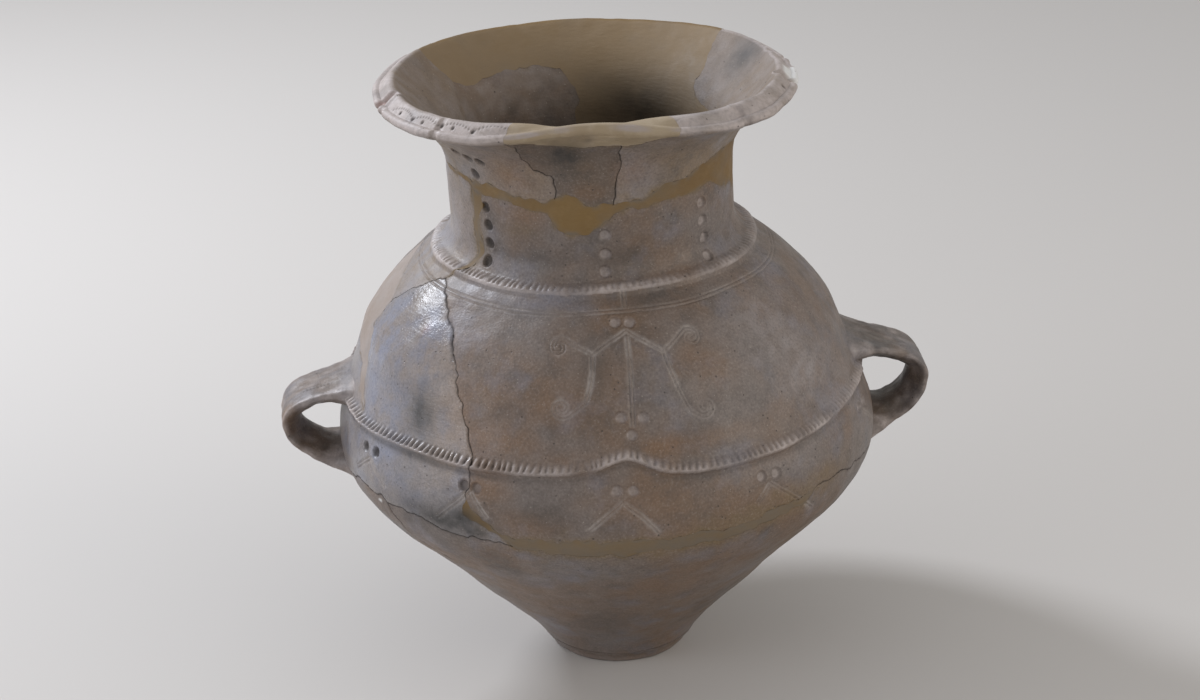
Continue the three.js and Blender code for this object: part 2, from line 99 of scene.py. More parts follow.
def outer_outline():
    """The outer face from the foot's top to the lip, as curves that run on into each other."""
    cone_run = np.subtract(cone_top, foot_spread)
    cone_run = cone_run / np.hypot(*cone_run)
    slope_run = np.array((slope_top[0] - shoulder[0], (slope_top[1] - shoulder[1]) * 0.72))
    slope_run = slope_run / np.hypot(*slope_run)
    shoulder_run = np.array((-0.32, 0.95))
    shoulder_rise = shoulder[1] - belly[1]
    slope_rise = slope_top[1] - shoulder[1]
    turn_rise = neck_foot[1] - slope_top[1]
    flare_rise = lip_underside[1] - neck_top[1]
    flare_reach = lip_underside[0] - neck_top[0]
    belly_pull = (belly[1] - cone_top[1]) * 0.5
    stretches = [
        bezier(foot_top, foot_spread - cone_run * 28.0, foot_spread),
        bezier(foot_spread, cone_top),
        bezier(cone_top, cone_top + cone_run * belly_pull,
               (belly[0], belly[1] - belly_pull * 0.8), belly),
        bezier(belly, (belly[0], belly[1] + shoulder_rise * 0.22),
               shoulder - shoulder_run * shoulder_rise * 0.42, shoulder),
        bezier(shoulder, shoulder + shoulder_run * slope_rise * 0.26,
               slope_top - slope_run * slope_rise * 0.52, slope_top),
        bezier(slope_top, slope_top + slope_run * turn_rise * 0.62,
               (neck_foot[0], neck_foot[1] - turn_rise * 0.48), neck_foot),
        bezier(neck_foot, neck_top),
        bezier(neck_top, (neck_top[0], neck_top[1] + flare_rise * 0.44),
               (neck_top[0] + flare_reach * 0.34, neck_top[1] + flare_rise * 0.82), lip_underside),
    ]
    return np.concatenate([stretches[0]] + [stretch[1:] for stretch in stretches[1:]])


def respaced(line, spacing):
    """The same line with points at even steps along it."""
    run = np.concatenate(([0.0], np.cumsum(np.hypot(*np.diff(line, axis=0).T))))
    count = max(2, int(round(run[-1] / spacing)) + 1)
    at = np.linspace(0.0, run[-1], count)
    return np.stack([np.interp(at, run, line[:, axis]) for axis in range(line.shape[1])], axis=1)


outline_step = 0.5
outline = respaced(outer_outline(), outline_step)
outline_run = np.gradient(outline, axis=0)
outline_run = outline_run / np.hypot(*outline_run.T)[:, None]
outline_out = np.stack([outline_run[:, 1], -outline_run[:, 0]], axis=1)


def radius_at(height):
    return np.interp(height, outline[:, 1], outline[:, 0])


def climb_at(height):
    return np.interp(height, outline[:, 1], outline_run[:, 1])


def on_wall(angle, height, lift=0.0):
    """Points on the outer face; angle 0 is the front and 90 the right, as the camera sees it."""
    turn = np.radians(angle)
    radius = radius_at(height) + lift
    height = height + np.zeros_like(radius)
    return np.stack([radius * np.sin(turn), -radius * np.cos(turn), height], axis=-1)


print("outline length in mm:", round(len(outline) * outline_step),
      "widest radius:", round(outline[:, 0].max(), 1))

# %% [markdown]
# ## From a point in space back to the outline
# Every later step asks where on the pot a vertex is: at which angle, at which height, and how deep
# under the outer face. A small table over radius and height answers that for all vertices at once.

# %% The table of heights and depths
table_low = np.array((20.0, 0.0))
table_size = (212, 478)


def outline_table():
    """For each radius and height: the height of the nearest outline point, and the depth."""
    heights = np.zeros(table_size)
    depths = np.zeros(table_size)
    rows = table_low[1] + np.arange(table_size[1])
    for column in range(table_size[0]):
        radius = table_low[0] + column
        away = (radius - outline[:, 0]) ** 2 + (rows[:, None] - outline[:, 1]) ** 2
        near = away.argmin(axis=1)
        offset = np.stack([radius - outline[near, 0], rows - outline[near, 1]], axis=1)
        along = (offset * outline_run[near]).sum(axis=1)
        heights[column] = outline[near, 1] + along * outline_run[near, 1]
        depths[column] = -(offset * outline_out[near]).sum(axis=1)
    return heights, depths


height_table, depth_table = outline_table()


def read_table(table, radius, height):
    across = np.clip(radius - table_low[0], 0, table_size[0] - 1.001)
    up = np.clip(height - table_low[1], 0, table_size[1] - 1.001)
    i, j = across.astype(int), up.astype(int)
    s, t = across - i, up - j
    return ((table[i, j] * (1 - s) + table[i + 1, j] * s) * (1 - t)
            + (table[i, j + 1] * (1 - s) + table[i + 1, j + 1] * s) * t)


def where(points):
    """The angle, the height on the outline and the depth under the outer face of each point."""
    radius = np.hypot(points[:, 0], points[:, 1])
    angle = np.degrees(np.arctan2(points[:, 0], -points[:, 1]))
    return (angle, read_table(height_table, radius, points[:, 2]),
            read_table(depth_table, radius, points[:, 2]))


print("deepest place in the table in mm:", round(depth_table.max()))

# %% [markdown]
# ## Unevenness
# Hands and pebbles leave a surface that is never quite even. A sum of many waves with a fixed seed
# gives such unevenness at any size, the same on every run, and it needs only a point in space, so
# two sherds that meet get the same value at their joint.

# %% Waves with a seed
def waves(seed, length, count=26):
    """A function of points in space that wanders about 0, with waves of about this length in mm."""
    draw = np.random.default_rng(seed)
    headings = draw.normal(size=(count, 3))
    headings = headings / np.linalg.norm(headings, axis=1)[:, None]
    lengths = length * draw.uniform(0.7, 1.4, count)
    turns = headings * (2 * math.pi / lengths)[:, None]
    starts = draw.uniform(0, 2 * math.pi, count)

    def value(points):
        return np.sin(points @ turns.T + starts).sum(axis=-1) / math.sqrt(count / 2)

    return value


def smooth_step(low, high, value):
    share = np.clip((value - low) / (high - low), 0.0, 1.0)
    return share * share * (3 - 2 * share)


def apart(angle, other):
    return np.abs((angle - other + 180.0) % 360.0 - 180.0)


broad_waves = waves(11, 95.0)
palm_waves = waves(12, 30.0)
finger_waves = waves(13, 11.0)
grain_waves = waves(14, 4.5)
print("waves at one point:", round(float(broad_waves(np.zeros((1, 3)))[0]), 3))

# %% [markdown]
# ## Where the pot broke
# The break lines are drawn on the outer face as angles and levels. Level 0 is the foot, 1 the
# notched cordon on the belly, 2 the one below the neck, 3 the top of the straight neck and 4 the
# rim. They are the same lines as in the solid model, so each sherd stays in its place.

# %% The break lines
level_heights = (0.0, 226.0, 333.0, 394.0, 452.5)
past_rim = 4.2
crack_fork = (-63.2, 1.95)
fill_corner = (-80.5, 1.68)
fill_rear_corner = (-106, 1.9)
fill_low_corner = (-104, 1.37)
belt_left = (-102, 0.743)
belt_right = (44, 0.819)
belt_wedge = (-24.5, 0.759)
wedge_tip = (-34, 0.894)
band_tip = (-86, 3.1)
band_rear_top = (80, 3.33)
band_rear_foot = (80, 2.62)
lip_left = (-27.5, 3.86)
lip_crack = (7.8, 3.715)
lip_right = (23, 3.87)
rear_neck_foot = (180, 2.21)
rear_neck_right = (103, 2.46)
rear_neck_left = (-109, 2.11)
rear_neck_top = (-124.5, 3.68)
rear_neck_side = (-113, 3.03)
belt_rear_right = (118, 0.783)
belt_rear = (182, 0.779)


def next_turn(place):
    return (place[0] + 360, place[1])


# %% Breaks between sherds, and edges of plaster
sherd_breaks = {
    "belly_seam_left": [belt_left, (-90, 0.73), (-80, 0.743), (-69.8, 0.792), (-62.9, 0.782),
                        (-58.7, 0.8), (-57.3, 0.78), (-52.2, 0.791), (-44.8, 0.781), (-41.1, 0.762),
                        (-33, 0.761), belt_wedge],
    "belly_seam_rear": [belt_right, (52, 0.81), (60, 0.796), (75, 0.761), (90, 0.73), (104, 0.743),
                        belt_rear_right, (150, 0.77), belt_rear, (215, 0.77), (240, 0.779),
                        next_turn(belt_left)],
    "fissure": [(-57.3, 0.78), (-53.2, 0.692), (-49, 0.628), (-46, 0.575)],
    "long_crack": [crack_fork, (-59.5, 1.892), (-53.2, 1.815), (-47.8, 1.726), (-44.4, 1.646),
                   (-40.6, 1.522), (-38.7, 1.41), (-36.6, 1.264), (-34.4, 1.161), (-33.3, 1.079),
                   (-34, 0.965), wedge_tip],
    "crack_branch": [crack_fork, (-68.4, 1.887), (-74.7, 1.816), fill_corner],
    "left_rear_low": [belt_left, (-103, 0.885), (-106, 1.131), fill_low_corner],
    "upper_crack_left": [(-18, 3.068), (-17.9, 3.297), (-21.2, 3.387), (-24.4, 3.417),
                         (-27.2, 3.552), lip_left],
    "upper_crack_right": [(5.6, 2.992), (6.7, 3.171), (7.6, 3.345), (8.7, 3.495), lip_crack],
    "rear_right_joint": [rear_neck_right, (104, 1.972), (110, 1.692), (116, 1.318), (112, 0.973),
                         belt_rear_right],
    "rear_joint": [rear_neck_foot, (178, 1.692), (184, 1.318), (176, 0.951), belt_rear],
}
plaster_edges = {
    "belt_top": [wedge_tip, (-30.6, 0.844), (-26.5, 0.796), (-14, 0.788), (-4, 0.792), (8, 0.783),
                 (21, 0.788), (31, 0.801), belt_right],
    "belt_foot": [belt_right, (40, 0.783), (31, 0.765), (21, 0.752), (8, 0.743), (-4, 0.743),
                  (-14, 0.735), belt_wedge],
    "wedge_side": [belt_wedge, (-28.6, 0.801), (-33, 0.83), (-34.8, 0.845), wedge_tip],
    "left_fill_top": [fill_rear_corner, (-88.1, 1.788), fill_corner],
    "left_fill_side": [fill_corner, (-82.2, 1.537), (-79.6, 1.494), (-77.4, 1.344), (-74.4, 1.164),
                       (-71, 1.037), (-77, 1.112), (-80, 1.26), (-88, 1.31), fill_low_corner],
    "left_fill_rear": [fill_low_corner, (-112, 1.598), fill_rear_corner],
    "left_rear_neck": [fill_rear_corner, rear_neck_left, (-112, 2.607), rear_neck_side,
                       (-118.5, 3.38), (-121, 3.53), rear_neck_top, (-122, 3.82), (-123, past_rim)],
    "band_top": [band_tip, (-82, 3.121), (-66, 3.129), (-53, 3.121), (-38, 3.069), (-28, 3.017),
                 (-22, 3.034), (-14, 3.103), (-10, 3.086), (-4, 2.984), (1, 3), (5.6, 2.992),
                 (11, 2.984), (18, 3.017), (24, 3.086), (31, 3.138), (41, 3.207), (51, 3.293),
                 (61, 3.345), band_rear_top],
    "band_foot": [band_rear_foot, (71, 2.754), (61, 2.82), (54, 2.918), (49, 2.951), (41, 2.934),
                  (31, 2.934), (21, 2.918), (11, 2.885), (4, 2.836), (-1, 2.738), (-6, 2.623),
                  (-12, 2.615), (-17, 2.705), (-20, 2.869), (-28, 2.91), (-38, 2.951), (-53, 2.984),
                  (-66, 3.06), (-82, 3.08), band_tip],
    "band_end": [band_rear_top, band_rear_foot],
    "band_point": [band_tip, rear_neck_side],
    "strip_left": [(-58, 3.013), (-58.1, 2.651), (-57.8, 2.403), (-56.7, 2.226), (-58.7, 2.077),
                   crack_fork],
    "strip_right": [(-51.4, 2.98), (-54, 2.685), (-54.4, 2.431), (-53.5, 2.228), (-55.8, 2.087),
                    crack_fork],
    "lip_fill_left": [(-27, past_rim), lip_left],
    "lip_fill_foot": [lip_left, (-21, 3.81), (-12.9, 3.728), lip_crack, (13.5, 3.751), lip_right],
    "lip_fill_right": [lip_right, (26, past_rim)],
    "rear_fill_side": [band_rear_top, (95, 3.293), (108, 3.21), (117.2, 3.31), (123.9, 3.414),
                       (127, 3.524), (125.8, 3.688), (127, 3.862), (130, past_rim)],
    "rear_fill_foot": [band_rear_foot, rear_neck_right, (130, 2.311), (160, 2.246), rear_neck_foot,
                       (210, 2.148), (235, 2.115), next_turn(rear_neck_left)],
    "rear_sherd_edge": [rear_neck_foot, (182, 2.9), (179.8, 3.19), (182.4, 3.41), (187.4, 3.56),
                        (199, 3.61), (211.4, 3.62), (227, 3.58), next_turn(rear_neck_top)],
}


print("break lines:", len(sherd_breaks) + len(plaster_edges))

# %% [markdown]
# ## Following a break
# A break is ragged, because fired clay tears from grain to grain. Its places are spaced evenly
# along the wall and then moved by fine waves, which are the same for all lines, so that three
# breaks that meet still meet.

# %% Ragged places along a line
def height_of(level):
    """The height of a level, with shares of the way between two levels."""
    base = np.clip(np.floor(level), 0, 3).astype(int)
    low = np.take(level_heights, base)
    return low + (np.asarray(level) - base) * (np.take(level_heights, base + 1) - low)


def surface_run(places):
    """Millimetres along the wall from the first of several places, given as angle and height."""
    middle = (places[1:, 1] + places[:-1, 1]) / 2
    around = np.radians(np.diff(places[:, 0])) * radius_at(middle)
    upward = np.diff(places[:, 1]) / climb_at(middle)
    return np.concatenate(([0.0], np.cumsum(np.hypot(around, upward))))


def spaced_on_wall(places, spacing):
    places = np.asarray(places, float)
    fine = np.concatenate([places[i] + np.linspace(0, 1, 9)[:-1, None] * (places[i + 1] - places[i])
                           for i in range(len(places) - 1)] + [places[-1:]])
    run = surface_run(fine)
    at = np.linspace(0, run[-1], max(3, int(round(run[-1] / spacing)) + 1))
    return np.stack([np.interp(at, run, fine[:, axis]) for axis in (0, 1)], axis=1)


def break_places(line, spacing):
    line = np.asarray(line, float)
    return spaced_on_wall(np.stack([line[:, 0], height_of(line[:, 1])], axis=1), spacing)


ragged_sizes = (0.8, 0.5, 0.1)
ragged_lengths = (24.0, 9.0, 3.2)
ragged_around = [waves(21 + i, length) for i, length in enumerate(ragged_lengths)]
ragged_upward = [waves(26 + i, length) for i, length in enumerate(ragged_lengths)]


def ragged(places):
    """The same places, moved a little as fired clay breaks: a joint of three lines moves as one."""
    points = on_wall(places[:, 0], places[:, 1])
    around = sum(size * wave(points) for size, wave in zip(ragged_sizes, ragged_around))
    upward = sum(size * wave(points) for size, wave in zip(ragged_sizes, ragged_upward))
    moved = places.copy()
    moved[:, 0] += np.degrees(around / radius_at(places[:, 1]))
    moved[:, 1] += upward * climb_at(places[:, 1])
    return moved


print("raggedness in mm:", ragged_sizes)

# %% [markdown]
# ## Where the cordons run
# Two cordons of clay were laid round the pot, one on the belly and one below the neck, and a groove
# was drawn under the upper one. The belly cordon wanders and climbs to a small peak at the front.
# Their crests are heights over the angle, because the wall needs finer faces along them.

# %% Cordon crests
belly_crest_angles = (-180, -110, -90, -70, -58.9, -48.6, -39.3, -31.4, -21.8, -12.6, -6, -2.5, 0.9,
                      4, 8.4, 14.3, 20.4, 27.2, 34.6, 43.2, 51.9, 62.5, 73.3, 95, 130, 180)
belly_crest_heights = (226, 226.6, 225, 223.4, 225.6, 227.2, 226.6, 226.6, 227.4, 228.8, 231.6,
                       236.4, 239, 234.4, 227.6, 224.8, 224.2, 224, 224, 224.8, 226, 227.6, 228,
                       226.4, 225.6, 226)


def belly_crest(angle):
    spread = np.linspace(-1.2, 1.2, 5)
    return sum(np.interp((angle + step + 180) % 360 - 180, belly_crest_angles, belly_crest_heights)
               for step in spread) / len(spread)


def neck_crest(angle):
    return 333.2 + 0.7 * np.sin(np.radians(2 * angle + 40)) + 0.4 * np.sin(np.radians(5 * angle))


def shoulder_line(angle):
    return (322.7 + 0.5 * np.sin(np.radians(3 * angle + 25))
            + 0.35 * np.sin(np.radians(8 * angle + 80)))


print("peak of the belly cordon at the front in mm:", max(belly_crest_heights))

# %% [markdown]
# ## Where the lines lie
# Pairs of lines were cut into the clay while it was leather hard: at the front a figure of two
# pairs of spirals, and below the belly pairs that spread like legs. They are drawn flat, as angles
# and heights, so the wall may curve as it likes beneath them.

# %% Incised lines
def side_step(places, step):
    """A line beside another one, step millimetres to its left."""
    run = np.gradient(places, axis=0)
    around = np.radians(run[:, 0]) * radius_at(places[:, 1])
    upward = run[:, 1] / climb_at(places[:, 1])
    length = np.hypot(around, upward) + 1e-9
    beside = places.copy()
    beside[:, 0] += np.degrees(-upward / length * step / radius_at(places[:, 1]))
    beside[:, 1] += around / length * step * climb_at(places[:, 1])
    return beside


def spiral(centre, start, turns, way, reach=7.6, pitch=5.0):
    """Places along a spiral from its outer end inwards; way 1 turns left and -1 turns right."""
    turn = np.linspace(0, turns, 60)
    bearing = np.radians(start) + way * 2 * math.pi * turn
    radius = reach - pitch * turn
    angle = centre[0] + np.degrees(radius * np.cos(bearing) / radius_at(centre[1]))
    height = centre[1] + radius * np.sin(bearing) * climb_at(centre[1])
    return [tuple(place) for place in np.stack([angle, height], axis=1)]


line_gap = 2.5
double_lines = [
    [(3.8, 312.8), (8.3, 306.6), (12.8, 299.8)],
    [(12.8, 299.8)] + spiral((21.5, 304.7), 149, 1.3, -1),
    [(12.8, 299.8), (13.3, 290), (14.1, 280), (15.2, 270), (16.3, 262.5)]
    + spiral((19.8, 263.4), 214, 1.3, 1),
    [(3.8, 312.8), (-1.2, 307.6), (-5.8, 301.5)],
    [(-5.8, 301.5)] + spiral((-14.8, 305.4), 31, 1.3, 1),
    [(-5.8, 301.5), (-6.0, 292), (-6.6, 283), (-7.8, 274)] + spiral((-13.2, 270.4), -34, 1.3, -1),
    [(3.8, 309.5), (3.4, 292), (2.9, 275), (2.5, 257.5)],
    [(5.1, 332.0), (4.7, 325.2)],
    [(-1.1, 207.4), (-4.8, 197.5), (-7.8, 188.9)],
    [(-0.6, 206.4), (2.5, 198.1), (6.0, 183.4)],
    [(31.5, 202.2), (37.0, 186.0), (42.9, 169.6)],
    [(31.2, 201.8), (29.4, 196.5), (27.5, 190.8)],
    [(-33.3, 208.6), (-36.8, 197.0), (-41.2, 183.4)],
    [(-33.0, 207.6), (-31.2, 199.5), (-29.2, 191.5)],
    [(-63.2, 203.2), (-60.4, 196.4), (-57.1, 188.8)],
    [(-63.6, 202.6), (-66.6, 195.6), (-70.0, 188.0)],
]
rear_motifs = (70.0, 105.0, 140.0, 176.0, -148.0, -104.0)
for middle in rear_motifs:
    double_lines.append([(middle, 206.5), (middle + 3.4, 198.0), (middle + 6.6, 187.5)])
    double_lines.append([(middle - 0.3, 206.0), (middle - 3.4, 197.5), (middle - 6.4, 188.5)])

print("pairs of lines:", len(double_lines))

# %% [markdown]
# ## Dimples and the ornament of the lip
# Dimples stand in pairs and upright rows, each as an angle and a height. The lip carries swags of
# fine pricks that hang from deeper pits at the left, and a scratched wave at the right front.

# %% Dimples and swags
dimples = [(1.0, 317.6), (5.2, 317.0), (0.0, 263.3), (4.9, 262.1), (2.0, 251.5), (0.7, 370.4),
           (0.3, 356.2), (-0.2, 343.9), (44.0, 366.2), (44.9, 352.7), (44.2, 340.7), (44.0, 379.6),
           (-49.8, 382.7), (-49.0, 369.5), (-49.2, 355.7), (-50.0, 342.9), (-2.1, 215.5),
           (1.3, 214.8), (29.4, 208.2), (33.2, 207.0), (-34.8, 211.5), (-31.7, 211.4),
           (-65.9, 208.9), (-61.4, 210.0)]
for middle in rear_motifs:
    dimples += [(middle - 1.9, 211.6), (middle + 1.9, 211.2)]
lip_dimples = [(-56.9, 423.8), (-51.5, 421.5), (-45.8, 420.7), (-52.9, 407.0)]


def upper_face(radius):
    """The height of the flare's upper face at a radius, before the lip is shaped."""
    share = smooth_step(neck_top[1], lip_underside[1], outline[:, 1])
    thick = wall_thickness + (lip_thickness - wall_thickness) * share
    face = outline - outline_out * thick[:, None]
    flare = outline[:, 1] > neck_top[1]
    return np.interp(radius, face[flare, 0], face[flare, 1])


def on_lip(angle, radius):
    turn = np.radians(angle)
    return np.stack([radius * np.sin(turn), -radius * np.cos(turn), upper_face(radius)], axis=-1)


def garland_dots():
    """Fine pricks that hang in swags from deeper pits, on the left part of the lip."""
    angle = np.arange(-70.0, -13.0, 1.05)
    return on_lip(angle, 147.6 - 3.6 * np.abs(np.sin(np.radians((angle + 70) * 16.5))) ** 0.8)


garland_pits = [(-66.0, 147.0), (-59.0, 147.5), (-54.5, 147.2), (-48.0, 146.4), (-43.5, 146.8),
                (-37.0, 147.2), (-26.2, 146.8), (70.0, 147.0), (77.0, 146.0)]


print("dimples:", len(dimples + lip_dimples), "pricks in the swags:", len(garland_dots()))

# %% [markdown]
# ## Measuring the distance to the ornament
# All lines and spots are laid on the wall as rows of points. A tree finds the one nearest to a
# vertex, and that distance later gives the depth of a cut and the width of a worn edge.

# %% Trees of points
def line_points():
    """Both lines of every pair, as points on the wall."""
    rows = []
    for places in double_lines:
        middle = spaced_on_wall(places, 0.4)
        for side in (-1, 1):
            line = side_step(middle, side * line_gap / 2)
            rows.append(on_wall(line[:, 0], line[:, 1]))
    return np.concatenate(rows)


def seek(points):
    tree = KDTree(len(points))
    for index, point in enumerate(points):
        tree.insert(point, index)
    tree.balance()
    return tree


far_away = 9.0


def away_from(tree, points, reach):
    """The distance of each point to the nearest one in the tree, at most the reach."""
    found = np.full(len(points), float(reach))
    for index, point in enumerate(points):
        spot = tree.find(point)
        if spot[2] < reach:
            found[index] = spot[2]
    return found


incised = line_points()
incised_tree = seek(incised)
dimple_spots = np.array(dimples + lip_dimples)
dimple_points = on_wall(dimple_spots[:, 0], dimple_spots[:, 1])
dimple_tree = seek(dimple_points)
garland_tree = seek(garland_dots())
pit_places = np.array(garland_pits)
pit_tree = seek(on_lip(pit_places[:, 0], pit_places[:, 1]))
wave_turns = np.arange(14.0, 37.0, 0.15)
wave_radii = 144.6 + 2.2 * np.sin(np.radians(wave_turns * 21 + 40))
wave_tree = seek(np.concatenate([on_lip(wave_turns, wave_radii + side) for side in (-0.9, 0.9)]))


def crack_points(lines, reach):
    """The ragged breaks as points, at some millimetres above or below the outer face."""
    rows = []
    for line in lines.values():
        places = ragged(break_places(line, 0.5))
        rows.append(on_wall(places[:, 0], places[:, 1], reach))
    return np.concatenate(rows)


inner_reach = -wall_thickness / 0.9
crack_tree = seek(np.concatenate([crack_points(sherd_breaks, 0.0),
                                  crack_points(sherd_breaks, inner_reach)]))
edge_tree = seek(np.concatenate([crack_points(plaster_edges, 0.0),
                                 crack_points(plaster_edges, inner_reach)]))
print("incised points:", len(incised), "dimples:", len(dimple_points))

# %% [markdown]
# ## The whole wall
# The section of the wall, out along the outer face, over the round lip and back down the inside, is
# spun once round the upright axis, as a pot is turned in the hand.

# %% Spinning the wall
section_step = 2.6
lip_steps = 12


def wall_section():
    """The cut through the wall: up its outer face, over the round lip and down the inside."""
    outer = respaced(outer_outline(), section_step)
    end, out = outline[-1], outline_out[-1]
    middle = end - out * lip_thickness / 2
    lip = []
    for step in range(1, lip_steps):
        turn = math.pi * step / lip_steps
        spoke = end - middle
        lip.append(middle + np.array((spoke[0] * math.cos(turn) - spoke[1] * math.sin(turn),
                                      spoke[0] * math.sin(turn) + spoke[1] * math.cos(turn))))
    flare = np.searchsorted(outline[:, 1], neck_top[1])
    near = np.concatenate([np.arange(0, flare, 13), np.arange(flare, len(outline), 5)])
    share = smooth_step(neck_top[1], lip_underside[1], outline[near, 1])
    thick = wall_thickness + (lip_thickness - wall_thickness) * share
    inner = (outline[near] - outline_out[near] * thick[:, None])[::-1]
    inner = inner[inner[:, 1] > foot_top[1] + 2.0]
    low = np.array((foot_top[0] - wall_thickness / outline_run[0, 1], foot_top[1]))
    return np.concatenate([outer, lip, inner, [low]])


def spun(section, steps):
    """The section as a ring of vertices, spun once round the upright axis and closed."""
    bm = bmesh.new()
    ring = [bm.verts.new((point[0], 0.0, point[1])) for point in section]
    edges = [bm.edges.new((ring[i], ring[(i + 1) % len(ring)])) for i in range(len(ring))]
    bmesh.ops.spin(bm, geom=ring + edges, cent=(0, 0, 0), axis=(0, 0, 1), angle=2 * math.pi,
                   steps=steps, use_merge=True)
    bmesh.ops.remove_doubles(bm, verts=bm.verts[:], dist=1e-4)
    bmesh.ops.recalc_face_normals(bm, faces=bm.faces[:])
    return bm


print("points of the section:", len(wall_section()))

# %% [markdown]
# ## Small faces where detail lies
# Faces near the ornament and the breaks are divided twice, so that detail has faces of about 0.6 mm
# and the plain clay has few.

# %% Dividing the wall
def detail_wanted(points, fine):
    """Which points lie where the wall needs small faces; fine asks for the smallest ones."""
    angle, height, depth = where(points)
    outside = depth < 2.0
    wanted = outside & (np.abs(height - belly_crest(angle)) < (6.6 if fine else 9))
    wanted |= outside & (np.abs(height - neck_crest(angle)) < (5.2 if fine else 7))
    wanted |= outside & (np.abs(height - shoulder_line(angle)) < (3.2 if fine else 5))
    if fine:
        lip = (height > 436) & (depth > 1.5) & (np.hypot(points[:, 0], points[:, 1]) > 139)
        wanted |= lip & (angle > -72) & (angle < 38) & ((angle < -12) | (angle > 12))
    rest = np.flatnonzero(outside & ~wanted)
    near = away_from(incised_tree, points[rest], far_away) < (1.8 if fine else 3.2)
    near |= away_from(dimple_tree, points[rest], far_away) < (6.0 if fine else 8.0)
    wanted[rest] = near
    if not fine:
        rest = np.flatnonzero(~wanted & ((depth < 2.0) | (points[:, 2] > 330)))
        near = away_from(crack_tree, points[rest], far_away) < 4.5
        near |= away_from(edge_tree, points[rest], far_away) < 3.0
        wanted[rest] = near
        wanted |= (points[:, 2] > 436) & (depth < lip_thickness + 1)
    return wanted


def coordinates(bm):
    return np.array([vert.co[:] for vert in bm.verts])


def refine(bm, fine):
    """Divide every edge that lies where small faces are wanted."""
    wanted = detail_wanted(coordinates(bm), fine)
    bm.verts.index_update()
    edges = [edge for edge in bm.edges
             if wanted[edge.verts[0].index] and wanted[edge.verts[1].index]]
    bmesh.ops.subdivide_edges(bm, edges=edges, cuts=1, use_grid_fill=True)
    return len(edges)


def to_object(bm, name):
    """Turn a bmesh to an object in the scene, unturned at the origin."""
    mesh = bpy.data.meshes.new(name)
    bm.to_mesh(mesh)
    bm.free()
    piece = bpy.data.objects.new(name, mesh)
    bpy.context.scene.collection.objects.link(piece)
    return piece


wall_steps = 440
wall = spun(wall_section(), wall_steps)
for fine in (False, True):
    print("edges divided:", refine(wall, fine))
bmesh.ops.recalc_face_normals(wall, faces=wall.faces[:])
print("faces of the wall:", len(wall.faces))
whole_wall = to_object(wall, "whole_wall")

# %% [markdown]
# ## A ribbon for each break
# Each break is a thin ribbon that stands through the wall along its line. A grid is extruded to two
# layers and then bent along the line. Fired clay breaks with a worn dark gap, while plaster was
# pressed right up to the sherds, so the ribbons at plaster are thinner.

# %% The ribbons
reaches = (-27.0, -18.0, -13.0, -9.5, -6.5, -3.5, -1.2, 1.2, 6.0, 17.0)
through_waves = (waves(31, 12.0), waves(32, 12.0))
ribbon_step = 1.5
ribbon_past = 0.9
break_gap = 0.4
plaster_gap = 0.08


def grid_places(verts, columns, rows):
    """Each vertex of a grid with its column and its row."""
    return [(vert, round((vert.co.x + 1) / 2 * columns), round((vert.co.y + 1) / 2 * rows))
            for vert in verts]


def ribbon(name, line, gap):
    """A closed ribbon, as thick as the gap, that stands through the wall along a break line."""
    places = ragged(break_places(line, ribbon_step))
    run = surface_run(places)
    past = ribbon_past
    at = np.concatenate(([-past], run, [run[-1] + past]))
    first = places[0] - (places[1] - places[0]) * past / (run[1] - run[0])
    last = places[-1] + (places[-1] - places[-2]) * past / (run[-1] - run[-2])
    places = np.concatenate(([first], places, [last]))
    around = np.radians(np.gradient(places[:, 0], at)) * radius_at(places[:, 1])
    upward = np.gradient(places[:, 1], at) / climb_at(places[:, 1])
    length = np.hypot(around, upward)
    around, upward = around / length, upward / length
    columns, rows = len(places) - 1, len(reaches) - 1
    bm = bmesh.new()
    bmesh.ops.create_grid(bm, x_segments=columns, y_segments=rows, size=1.0)
    here = grid_places(bm.verts, columns, rows)
    extruded = bmesh.ops.extrude_face_region(bm, geom=bm.faces[:])["geom"]
    there = grid_places([vert for vert in extruded if isinstance(vert, bmesh.types.BMVert)],
                        columns, rows)
    for verts, side in ((here, -1), (there, 1)):
        column = np.array([entry[1] for entry in verts])
        reach = np.array(reaches)[[entry[2] for entry in verts]]
        angle, height = places[column, 0], places[column, 1]
        inside = 0.3 * smooth_step(0.0, 4.0, -reach)
        points = on_wall(angle, height, reach)
        step_around = -upward[column] * side * gap / 2 + inside * through_waves[0](points)
        step_upward = around[column] * side * gap / 2 + inside * through_waves[1](points)
        angle = angle + np.degrees(step_around / radius_at(height))
        height = height + step_upward * climb_at(height)
        for entry, point in zip(verts, on_wall(angle, height, reach)):
            entry[0].co = point
    if bm.calc_volume(signed=True) < 0:
        bmesh.ops.reverse_faces(bm, faces=bm.faces[:])
    return to_object(bm, name)


breaks = bpy.data.collections.new("breaks")
for lines, gap in ((sherd_breaks, break_gap), (plaster_edges, plaster_gap)):
    for name, line in lines.items():
        piece = ribbon(name, line, gap)
        bpy.context.scene.collection.objects.unlink(piece)
        breaks.objects.link(piece)

# %% [markdown]
# ## Falling apart
# One boolean takes all ribbons away at once, and the wall falls apart into loose parts, which are
# the sherds and the fills. All of them are cut from one wall, so they fit each other by themselves.

